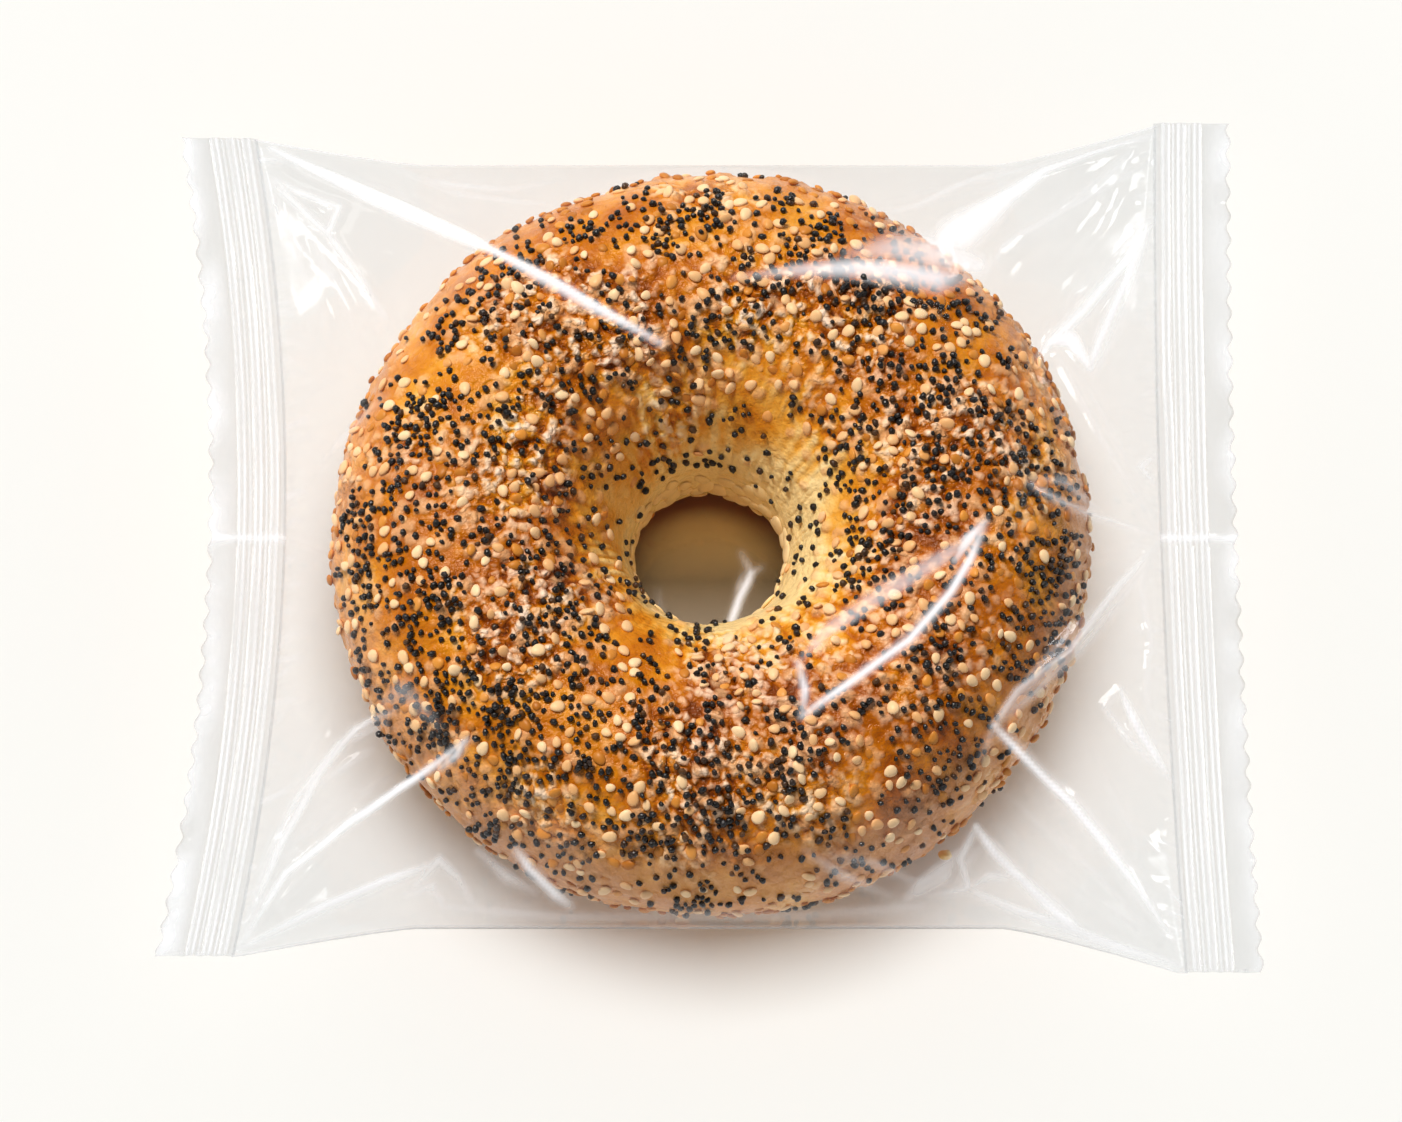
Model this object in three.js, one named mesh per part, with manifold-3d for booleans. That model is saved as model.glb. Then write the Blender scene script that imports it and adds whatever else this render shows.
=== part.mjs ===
// A seeded ring bagel sealed in a clear flow-wrap bag, as one closed solid. The bagel's hole shows in it
// as it is seen through the clear film that spans it.
// X runs along the bag from end seal to end seal, Y runs across it and Z is up.
// The origin is on the surface that the bag lies on, under the middle of its box. Units are millimetres.
import * as THREE from 'three'
import { mergeVertices } from 'three/addons/utils/BufferGeometryUtils.js'
import Module from 'manifold-3d'

const wasm = await Module()
wasm.setup()

// Driving dimensions: the wrapped ring.
const bagHeight = 38             // surface to the film over the crown
const ringDiameter = 112         // the bagel with the film tight on it
const crownRadius = 35           // where the ring is highest
const neckRadius = 11            // narrowest place of the hole
const neckHeight = 8.5           // height of that place
const holeFloor = 2              // the lower film closes the hole here
const crownDrop = 1              // the bread's crown lies this far below the top of the bag
const lipRadius = 30             // from here the slope of the hole runs straight out to the film
const lipSlope = 0.4             // its rise per millimetre there
const baseRadius = 41            // flat underside that the bag rests on

// Driving dimensions: the film.
const seamHeight = 18            // the end seals and side folds lie at this height
const bodyHalfWidth = 58.4       // across the bag beside the ring
const flareStart = 42            // from here the sides spread towards the seals
const foldThickness = 1
const airFill = 0.017            // curvature that the air in the bag gives the free film, per millimetre
const holeSag = 0.005            // curvature of the film that sinks over the hole, per millimetre
const crossPull = 0.2            // the film pulls across the bag by this share of its pull along it
const leftSeal = { side: -1, middle: 61.8, bow: 5.8, skew: 0.75, halfWidth: 62.6 }
const rightSeal = { side: 1, middle: 65.75, bow: 1.3, skew: -1.3, halfWidth: 65 }

// Driving dimensions: the end seals, a crimped band with a plain margin outside it.
const bandWidth = 7
const marginWidth = 4
const sealThickness = 0.9
const sealOverlap = 1.2          // how far the band reaches into the body
const ridgeCount = 5
const ridgeDepth = 0.3
const scallopPitch = 3.8         // of the serrated cut
const scallopDepth = 0.7

// Driving dimensions: the sesame seeds that show through the tight film.
const seedPlaces = 122
const seedLength = 3
const seedWidth = 1.9
const seedTaper = 0.3            // one end is this much slimmer, the other this much fuller
const seedProud = 0.6            // how far a seed lifts the film
const seedTurn = 2.1             // radians from each seed to the next
const seedInnerRadius = 15
const seedOuterRadius = 53
const tightGap = 0.35            // the film touches the ring where it is nearer than this
const flankHeight = 26           // no seed shows on the steep flank below this height
const goldenAngle = Math.PI * (3 - Math.sqrt(5))

// Fineness of the surfaces.
const columnCount = 40           // of the body's grid, along X
const rowCount = 26              // of the body's grid, across Y
const relaxPasses = 400
const holeSides = 36
const holeSteps = 7
const holeTurn = 0.05            // radians, so that its edges cross the body's grid at clear angles
const sealRows = 10
const stepsPerScallop = 3
const seedSides = 6
const seedRings = 3

// X of the line where the body meets a seal, at a place across the bag from -1 to 1.
function sealLine(seal, across) {
  return seal.side * (seal.middle + seal.bow * across * across) + seal.skew * across
}

// Half the bag's width at a distance along it: straight beside the ring, spreading to the seals.
function halfWidth(x) {
  const seal = x < 0 ? leftSeal : rightSeal
  const flare = (Math.abs(x) - flareStart) / (seal.middle + seal.bow - flareStart)
  const share = Math.min(1, Math.max(0, flare))
  return bodyHalfWidth + (seal.halfWidth - bodyHalfWidth) * share ** 1.2
}

// Place of a grid point, with u along the bag and v across it, both from -1 to 1.
function planPoint(u, v) {
  const left = sealLine(leftSeal, v)
  const right = sealLine(rightSeal, v)
  const x = left + (u + 1) / 2 * (right - left)
  return { x, y: v * halfWidth(x) }
}

// Rows lie closer together towards the sides, where the film turns down.
function rowPlace(row) {
  const even = row / rowCount * 2 - 1
  return (even + Math.sin(even * Math.PI / 2)) / 2
}

// Height of the ring's upper skin above its own middle, as a share of its half height.
function ringRise(radius) {
  const reach = radius > crownRadius ? ringDiameter / 2 - crownRadius : crownRadius - neckRadius
  const share = (radius - crownRadius) / reach
  return Math.abs(share) < 1 ? Math.sqrt(1 - share * share) : 0
}

// Upper and lower skins of the ring: round above, flat below with a rounded foot.
function ringTop(radius) {
  return seamHeight + (bagHeight - seamHeight) * ringRise(radius)
}

function ringBase(radius) {
  const share = Math.max(0, radius - baseRadius) / (ringDiameter / 2 - baseRadius)
  return share < 1 ? seamHeight * (1 - Math.sqrt(1 - share * share)) : seamHeight
}

// Heights of a taut film over the grid: each free point goes to the mean of its neighbours,
// weighted by nearness and pull, moves by its bulge, and is then held to the ring by its limit.
function drapedHeights(edgeHeight, bulge, limit) {
  const places = []
  const heights = []
  for (let column = 0; column <= columnCount; column++) {
    for (let row = 0; row <= rowCount; row++) {
      const place = planPoint(column / columnCount * 2 - 1, rowPlace(row))
      places.push(place)
      heights.push(limit(Math.hypot(place.x, place.y), edgeHeight))
    }
  }
  const step = rowCount + 1
  for (let pass = 0; pass < relaxPasses; pass++) {
    for (let column = 0; column <= columnCount; column++) {
      for (let row = 0; row <= rowCount; row++) {
        const here = column * step + row
        if (column === 0 || column === columnCount || row === 0 || row === rowCount) {
          heights[here] = edgeHeight
          continue
        }
        let total = 0
        let weights = 0
        for (const [there, pull] of [[-1, crossPull], [1, crossPull], [-step, 1], [step, 1]]) {
          const other = places[here + there]
          const weight = pull / ((other.x - places[here].x) ** 2 + (other.y - places[here].y) ** 2)
          total += heights[here + there] * weight
          weights += weight
        }
        const radius = Math.hypot(places[here].x, places[here].y)
        heights[here] = limit(radius, (total + bulge(radius)) / weights)
      }
    }
  }
  return heights
}

// The upper film sinks over the hole, and elsewhere air lifts it. The lower film is pushed down by air,
// and the ring presses it flat on the surface.
const topHeights = drapedHeights(
  seamHeight + foldThickness / 2,
  (radius) => radius < crownRadius ? -holeSag : airFill,
  (radius, height) => Math.min(bagHeight, Math.max(ringTop(radius), height)))
const baseHeights = drapedHeights(
  seamHeight - foldThickness / 2,
  () => -airFill,
  (radius, height) => Math.max(0, Math.min(ringBase(radius), height)))

// Height of the upper film at any place, between the four grid points round it.
function filmHeight(x, y) {
  const v = y / halfWidth(x)
  const left = sealLine(leftSeal, v)
  const along = (x - left) / (sealLine(rightSeal, v) - left) * columnCount
  let row = 0
  while (row < rowCount - 1 && rowPlace(row + 1) < v) row++
  const across = (v - rowPlace(row)) / (rowPlace(row + 1) - rowPlace(row))
  const column = Math.min(columnCount - 1, Math.floor(along))
  const corner = column * (rowCount + 1) + row
  const near = topHeights[corner] * (1 - across) + topHeights[corner + 1] * across
  const far = topHeights[corner + rowCount + 1] * (1 - across) + topHeights[corner + rowCount + 2] * across
  return near + (far - near) * (along - column)
}

// Height of the slope that runs down into the hole: a quarter ellipse up from the neck, then straight.
function holeHeight(radius) {
  if (radius < neckRadius) return holeFloor
  const rise = bagHeight - crownDrop - neckHeight
  const round = neckHeight + rise * ringRise(Math.min(radius, lipRadius))
  return round + lipSlope * Math.max(0, radius - lipRadius)
}

// Height of the skin that shows: the film, or the bagel's hole that is seen through it.
function skinHeight(x, y) {
  return Math.min(filmHeight(x, y), holeHeight(Math.hypot(x, y)))
}

// The air above the hole, down to the lower film that closes it.
function holeAir() {
  const outerRadius = crownRadius + crownDrop / lipSlope
  const section = [[0, holeFloor], [neckRadius, holeFloor]]
  for (let step = 0; step <= holeSteps; step++) {
    const radius = neckRadius + (lipRadius - neckRadius) * (step / holeSteps) ** 2
    section.push([radius, holeHeight(radius)])
  }
  section.push([outerRadius, holeHeight(outerRadius)], [outerRadius, 2 * bagHeight], [0, 2 * bagHeight])
  const profile = section.map(([radius, height]) => new THREE.Vector2(radius, height))
  const air = new THREE.LatheGeometry(profile, holeSides)
  air.rotateX(Math.PI / 2)
  air.rotateZ(holeTurn)
  return solidOf(air)
}

// Makes a closed solid from a geometry: only places are kept, and shared corners are merged.
function solidOf(geometry) {
  const bare = geometry.clone()
  bare.deleteAttribute('normal')
  bare.deleteAttribute('uv')
  const merged = mergeVertices(bare)
  const vertProperties = new Float32Array(merged.attributes.position.array)
  const triVerts = new Uint32Array(merged.index.array)
  return new wasm.Manifold(new wasm.Mesh({ numProp: 3, vertProperties, triVerts }))
}

// The body starts as a box with a grid on its top and base, and each grid point moves to its film.
function filledBody() {
  const box = new THREE.BoxGeometry(2, 2, 2, columnCount, rowCount, 1)
  const position = box.attributes.position
  for (let i = 0; i < position.count; i++) {
    const column = Math.round((position.getX(i) + 1) / 2 * columnCount)
    const row = Math.round((position.getY(i) + 1) / 2 * rowCount)
    const { x, y } = planPoint(column / columnCount * 2 - 1, rowPlace(row))
    const heights = position.getZ(i) > 0 ? topHeights : baseHeights
    position.setXYZ(i, x, y, heights[column * (rowCount + 1) + row])
  }
  return solidOf(box)
}

// Plan outline of a seal strip. Its inner side follows the seal line, and its cut side is scalloped.
function sealOutline(seal) {
  const outline = []
  for (let row = 0; row <= sealRows; row++) {
    const across = row / sealRows * 2 - 1
    const x = sealLine(seal, across) - seal.side * sealOverlap
    outline.push(new THREE.Vector2(x, across * seal.halfWidth))
  }
  const cutSteps = Math.round(2 * seal.halfWidth / scallopPitch) * stepsPerScallop
  for (let step = cutSteps; step >= 0; step--) {
    const across = step / cutSteps * 2 - 1
    const notch = Math.cos(step / stepsPerScallop * 2 * Math.PI) * scallopDepth / 2
    const x = sealLine(seal, across) + seal.side * (bandWidth + marginWidth + notch)
    outline.push(new THREE.Vector2(x, across * seal.halfWidth))
  }
  return new THREE.Shape(outline)
}

// Cross-section of a seal in X and Z, measured outwards from the seal line: ridges, then the margin.
// It starts and ends beyond the seal's outline, which cuts it to size.
function crimpSection(seal) {
  const stations = [[-2 * sealOverlap, 0]]
  for (let half = 0; half <= 2 * ridgeCount; half++) {
    stations.push([half / (2 * ridgeCount) * bandWidth, half % 2 ? ridgeDepth : 0])
  }
  stations.push([bandWidth + marginWidth + scallopDepth, 0])
  const upper = stations.map(([out, rise]) => new THREE.Vector2(seal.side * out, rise + sealThickness / 2))
  const lower = stations.map(([out, rise]) => new THREE.Vector2(seal.side * out, rise - sealThickness / 2))
  return new THREE.Shape([...upper, ...lower.reverse()])
}

// A seal is its crimp section carried across the bag along the bowed seal line, cut to its outline.
function endSeal(seal) {
  const length = 2 * (seal.halfWidth + scallopPitch)
  const carry = { depth: length, steps: sealRows, bevelEnabled: false }
  const band = new THREE.ExtrudeGeometry(crimpSection(seal), carry)
  band.rotateX(Math.PI / 2)
  band.translate(0, length / 2, seamHeight)
  const position = band.attributes.position
  for (let i = 0; i < position.count; i++) {
    position.setX(i, position.getX(i) + sealLine(seal, position.getY(i) / seal.halfWidth))
  }
  const cutDepth = 4 * sealThickness
  const cut = { depth: cutDepth, steps: 1, bevelEnabled: false }
  const blank = new THREE.ExtrudeGeometry(sealOutline(seal), cut)
  blank.translate(0, 0, seamHeight - cutDepth / 2)
  return solidOf(band).intersect(solidOf(blank))
}

// A sesame seed is a drop-shaped bump on the skin, turned to the slope that it lies on.
function seedBump(x, y, turn) {
  const reach = seedLength / 6
  const slopeX = (skinHeight(x + reach, y) - skinHeight(x - reach, y)) / (2 * reach)
  const slopeY = (skinHeight(x, y + reach) - skinHeight(x, y - reach)) / (2 * reach)
  const seed = new THREE.SphereGeometry(1, seedSides, seedRings)
  seed.rotateX(Math.PI / 2)
  const position = seed.attributes.position
  for (let i = 0; i < position.count; i++) {
    const taper = 1 - seedTaper * position.getX(i)
    position.setX(i, position.getX(i) * seedLength / 2)
    position.setY(i, position.getY(i) * seedWidth / 2 * taper)
    position.setZ(i, position.getZ(i) * seedProud)
  }
  seed.rotateZ(turn)
  const normal = new THREE.Vector3(-slopeX, -slopeY, 1).normalize()
  seed.applyQuaternion(new THREE.Quaternion().setFromUnitVectors(new THREE.Vector3(0, 0, 1), normal))
  seed.translate(x, y, skinHeight(x, y))
  return solidOf(seed)
}

// Seeds are spread evenly over the ring by the golden angle, and kept in the hole and where the film is tight.
function sesameBumps() {
  const bumps = []
  for (let i = 0; i < seedPlaces; i++) {
    const share = (i + 0.5) / seedPlaces
    const radius = Math.sqrt(seedInnerRadius ** 2 + share * (seedOuterRadius ** 2 - seedInnerRadius ** 2))
    const x = radius * Math.cos(i * goldenAngle)
    const y = radius * Math.sin(i * goldenAngle)
    const isInside = radius < crownRadius
    const isTight = filmHeight(x, y) - ringTop(radius) < tightGap && ringTop(radius) > flankHeight
    if (isInside || isTight) bumps.push(seedBump(x, y, i * seedTurn))
  }
  return bumps
}

let wrapped = filledBody().subtract(holeAir())
for (const seal of [leftSeal, rightSeal]) wrapped = wrapped.add(endSeal(seal))
for (const bump of sesameBumps()) wrapped = wrapped.add(bump)

const wrappedMesh = wrapped.getMesh()
const geometry = new THREE.BufferGeometry()
geometry.setAttribute('position', new THREE.BufferAttribute(wrappedMesh.vertProperties, 3))
geometry.setIndex(new THREE.BufferAttribute(wrappedMesh.triVerts, 1))
geometry.computeVertexNormals()

const bakedBrown = new THREE.MeshStandardMaterial({ color: 0xb8722e, roughness: 0.3, metalness: 0 })
const bag = new THREE.Mesh(geometry, bakedBrown)
bag.name = 'wrapped_bagel'

const group = new THREE.Group()
group.add(bag)

export default group
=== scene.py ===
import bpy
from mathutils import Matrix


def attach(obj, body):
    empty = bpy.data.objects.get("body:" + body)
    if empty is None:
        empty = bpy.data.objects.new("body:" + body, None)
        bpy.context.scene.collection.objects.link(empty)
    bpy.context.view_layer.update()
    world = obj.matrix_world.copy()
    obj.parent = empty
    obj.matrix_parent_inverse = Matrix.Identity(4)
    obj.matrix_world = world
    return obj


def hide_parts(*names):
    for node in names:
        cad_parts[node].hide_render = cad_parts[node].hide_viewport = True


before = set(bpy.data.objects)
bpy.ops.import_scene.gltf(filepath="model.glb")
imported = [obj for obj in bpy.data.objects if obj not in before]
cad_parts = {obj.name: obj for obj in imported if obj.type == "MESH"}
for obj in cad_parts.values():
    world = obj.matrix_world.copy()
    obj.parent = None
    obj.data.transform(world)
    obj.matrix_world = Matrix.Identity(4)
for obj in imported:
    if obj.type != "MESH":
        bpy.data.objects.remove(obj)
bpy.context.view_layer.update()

import math

import bmesh
import bpy
import numpy as np
from mathutils import Matrix, Vector, kdtree, noise

mm = 0.001  # lengths below are in millimetres and go into the frame in metres
bagNode = "wrapped_bagel"


def linearFrom(hexColour):
    channels = [int(hexColour[i:i + 2], 16) / 255 for i in (1, 3, 5)]
    return tuple(c / 12.92 if c <= 0.04045 else ((c + 0.055) / 1.055) ** 2.4 for c in channels) + (1,)


def addNode(tree, kind, settings=None, **links):
    # settings go on the node; links name its sockets (_0 is the first) and hold an output or a plain value
    node = tree.nodes.new(kind)
    for name, value in (settings or {}).items():
        setattr(node, name, value)
    for name, value in links.items():
        socket = node.inputs[int(name[1:])] if name[0] == "_" else node.inputs[name.replace("__", " ")]
        if isinstance(value, bpy.types.NodeSocket):
            tree.links.new(value, socket)
        else:
            socket.default_value = value
    return node


def emptyMaterial(name):
    material = bpy.data.materials.new(name)
    material.use_nodes = True
    material.node_tree.nodes.clear()
    return material, material.node_tree


def objectNoise(tree, sizeMm, detail=3.0, roughness=0.5, kind="FBM"):
    # noise whose bumps are about sizeMm apart
    place = addNode(tree, "ShaderNodeTexCoord").outputs["Object"]
    return addNode(tree, "ShaderNodeTexNoise", {"noise_type": kind}, Vector=place, Scale=1 / (sizeMm * mm),
                   Detail=detail, Roughness=roughness).outputs["Fac"]


def colourRamp(tree, factor, stops):
    ramp = addNode(tree, "ShaderNodeValToRGB", Fac=factor)
    while len(ramp.color_ramp.elements) < len(stops):
        ramp.color_ramp.elements.new(0.5)
    for element, (place, colour) in zip(ramp.color_ramp.elements, stops):
        element.position = place
        element.color = linearFrom(colour)
    return ramp.outputs["Color"]


def mathNode(tree, operation, first, second=0.5, clamp=False):
    settings = {"operation": operation, "use_clamp": clamp}
    return addNode(tree, "ShaderNodeMath", settings, _0=first, _1=second).outputs[0]


def mixColour(tree, factor, first, second):
    mix = addNode(tree, "ShaderNodeMix", {"data_type": "RGBA"}, _0=factor, _6=first)
    mix.inputs[7].default_value = linearFrom(second)
    return mix.outputs[2]


def smoothStep(low, high, value):
    share = np.clip((value - low) / (high - low), 0, 1)
    return share * share * (3 - 2 * share)


def setPlaces(bm, places):
    for vert, place in zip(bm.verts, places.tolist()):
        vert.co = place


def addLayer(mesh, name, values):
    layer = mesh.attributes.new(name, "FLOAT", "POINT")
    layer.data.foreach_set("value", np.clip(values, 0, 1).astype(np.float32))


def addPiece(name, mesh, material):
    mesh.name = name
    mesh.shade_smooth()
    mesh.materials.append(material)
    piece = bpy.data.objects.new(name, mesh)
    bpy.context.collection.objects.link(piece)
    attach(piece, "root")
    return piece


def meshFrom(bm):
    mesh = bpy.data.meshes.new("piece")
    bm.to_mesh(mesh)
    bm.free()
    return mesh


# the form that the film and the ring share, as in the solid model
bagShape = {
    "bagHeight": 38,
    "ringDiameter": 112,
    "crownRadius": 35,
    "neckRadius": 11,
    "baseRadius": 41,
    "seamHeight": 18,
    "bodyHalfWidth": 58.4,
    "flareStart": 42,
    "airFill": 0.017,
    "holeSag": 0.005,
    "crossPull": 0.2,
    "edgeThickness": 0.25,
}
# marginMilk whitens each seal's margin in soft blotches, which paints its highlights; the left one is set whiter than
# the right one as painted light
leftSeal = {"side": -1, "middle": 61.8, "bow": 5.8, "skew": 0.75, "halfWidth": 62.6, "marginMilk": 0.45}
rightSeal = {"side": 1, "middle": 65.75, "bow": 1.3, "skew": -1.3, "halfWidth": 65, "marginMilk": 0.3}

# where the ring is fuller or slimmer than round: azimuth in degrees, reach in degrees, mm
ringSwells = ((80, 24, 0.9), (35, 14, 0.4), (-78, 28, 0.9), (-30, 16, 0.4), (168, 30, -0.5))


def ringSwell(x, y):
    azimuth = np.degrees(np.arctan2(y, x))
    swell = np.zeros_like(azimuth)
    for middle, reach, size in ringSwells:
        away = (azimuth - middle + 180) % 360 - 180
        swell = swell + size * np.exp(-(away / reach) ** 2)
    return swell


def sealLine(seal, across):
    return seal["side"] * (seal["middle"] + seal["bow"] * across ** 2) + seal["skew"] * across


def halfWidth(x):
    widths = []
    for seal in (leftSeal, rightSeal):
        reach = seal["middle"] + seal["bow"] - bagShape["flareStart"]
        flare = np.clip((np.abs(x) - bagShape["flareStart"]) / reach, 0, 1) ** 1.2
        widths.append(bagShape["bodyHalfWidth"] + (seal["halfWidth"] - bagShape["bodyHalfWidth"]) * flare)
    return np.where(x < 0, widths[0], widths[1])


def rowPlace(share):
    # rows lie closer together towards the sides, where the film turns down
    even = share * 2 - 1
    return (even + np.sin(even * math.pi / 2)) / 2


def gridShares(count, gather):
    # gather (0 to 1) draws the grid's lines together in the middle
    share = np.linspace(0, 1, count + 1)
    return share + gather * np.sin(2 * math.pi * share) / (2 * math.pi)


def planGrid(columns, rows, gather):
    along = gridShares(columns, gather)[:, None]
    across = rowPlace(gridShares(rows, gather))[None, :]
    left, right = sealLine(leftSeal, across), sealLine(rightSeal, across)
    x = left + along * (right - left)
    return x, across * halfWidth(x)


def ringTop(x, y):
    radius = np.hypot(x, y)
    crown, outer = bagShape["crownRadius"], bagShape["ringDiameter"] / 2 + ringSwell(x, y)
    reach = np.where(radius > crown, outer - crown, crown - bagShape["neckRadius"])
    share = np.clip(np.abs(radius - crown) / reach, 0, 1)
    return bagShape["seamHeight"] + (bagShape["bagHeight"] - bagShape["seamHeight"]) * np.sqrt(1 - share ** 2)


def ringBase(x, y):
    base, outer = bagShape["baseRadius"], bagShape["ringDiameter"] / 2 + ringSwell(x, y)
    share = np.clip((np.hypot(x, y) - base) / (outer - base), 0, 1)
    return bagShape["seamHeight"] * (1 - np.sqrt(1 - share ** 2))


def tautHeights(columns, rows, gather, edgeHeight, bulge, limit):
    # a taut film: each point goes to the weighted mean of its neighbours and is held back by the ring,
    # on a coarse grid first and then on finer ones
    heights = None
    for level, passes in ((8, 900), (4, 400), (2, 250), (1, 120)):
        nu, nv = max(8, columns // level), max(8, rows // level)
        x, y = planGrid(nu, nv, gather)
        if heights is None:
            heights = np.full(x.shape, float(edgeHeight))
        else:
            oldU, oldV = np.linspace(0, 1, heights.shape[0]), np.linspace(0, 1, heights.shape[1])
            newU, newV = np.linspace(0, 1, nu + 1), np.linspace(0, 1, nv + 1)
            rowsDone = np.array([np.interp(newV, oldV, line) for line in heights])
            heights = np.array([np.interp(newU, oldU, line) for line in rowsDone.T]).T
        gapU = (x[1:] - x[:-1]) ** 2 + (y[1:] - y[:-1]) ** 2
        gapV = (x[:, 1:] - x[:, :-1]) ** 2 + (y[:, 1:] - y[:, :-1]) ** 2
        west, east = 1 / gapU[:-1, 1:-1], 1 / gapU[1:, 1:-1]
        south, north = bagShape["crossPull"] / gapV[1:-1, :-1], bagShape["crossPull"] / gapV[1:-1, 1:]
        total = west + east + south + north
        inX, inY = x[1:-1, 1:-1], y[1:-1, 1:-1]
        push = bulge(np.hypot(inX, inY))
        held = limit(inX, inY)
        for _ in range(passes):
            mean = (heights[:-2, 1:-1] * west + heights[2:, 1:-1] * east
                    + heights[1:-1, :-2] * south + heights[1:-1, 2:] * north + push) / total
            heights[1:-1, 1:-1] = held(mean)
            heights[0, :] = heights[-1, :] = edgeHeight
            heights[:, 0] = heights[:, -1] = edgeHeight
    return heights


filmValues = {
    "columns": 300, "rows": 250,              # upper film
    "underColumns": 120, "underRows": 100,    # lower film, with its lines closer together under the hole
    "underGather": 0.6,
    "foldRound": 0.22,                        # mm, how sharply a fold turns
    "whiteLine": 0.56,                        # mm, half width of the whitened line along a fold
    "edgeFade": 2.5,                          # mm, folds die out this close to the side edges
    "offFloor": 0.1,                          # mm, the lower film keeps clear of the surface it lies on
    "gatherSpacing": 2.1, "gatherReach": (2.5, 9), "gatherHeight": (0.12, 0.42),
    "fanLines": 9, "fanReach": (16, 44), "fanHeight": (0.12, 0.4),
    "crumpleWaves": 7, "crumpleSize": (7, 26), "crumpleDepth": 0.1,
    "seed": 11,
}
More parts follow.
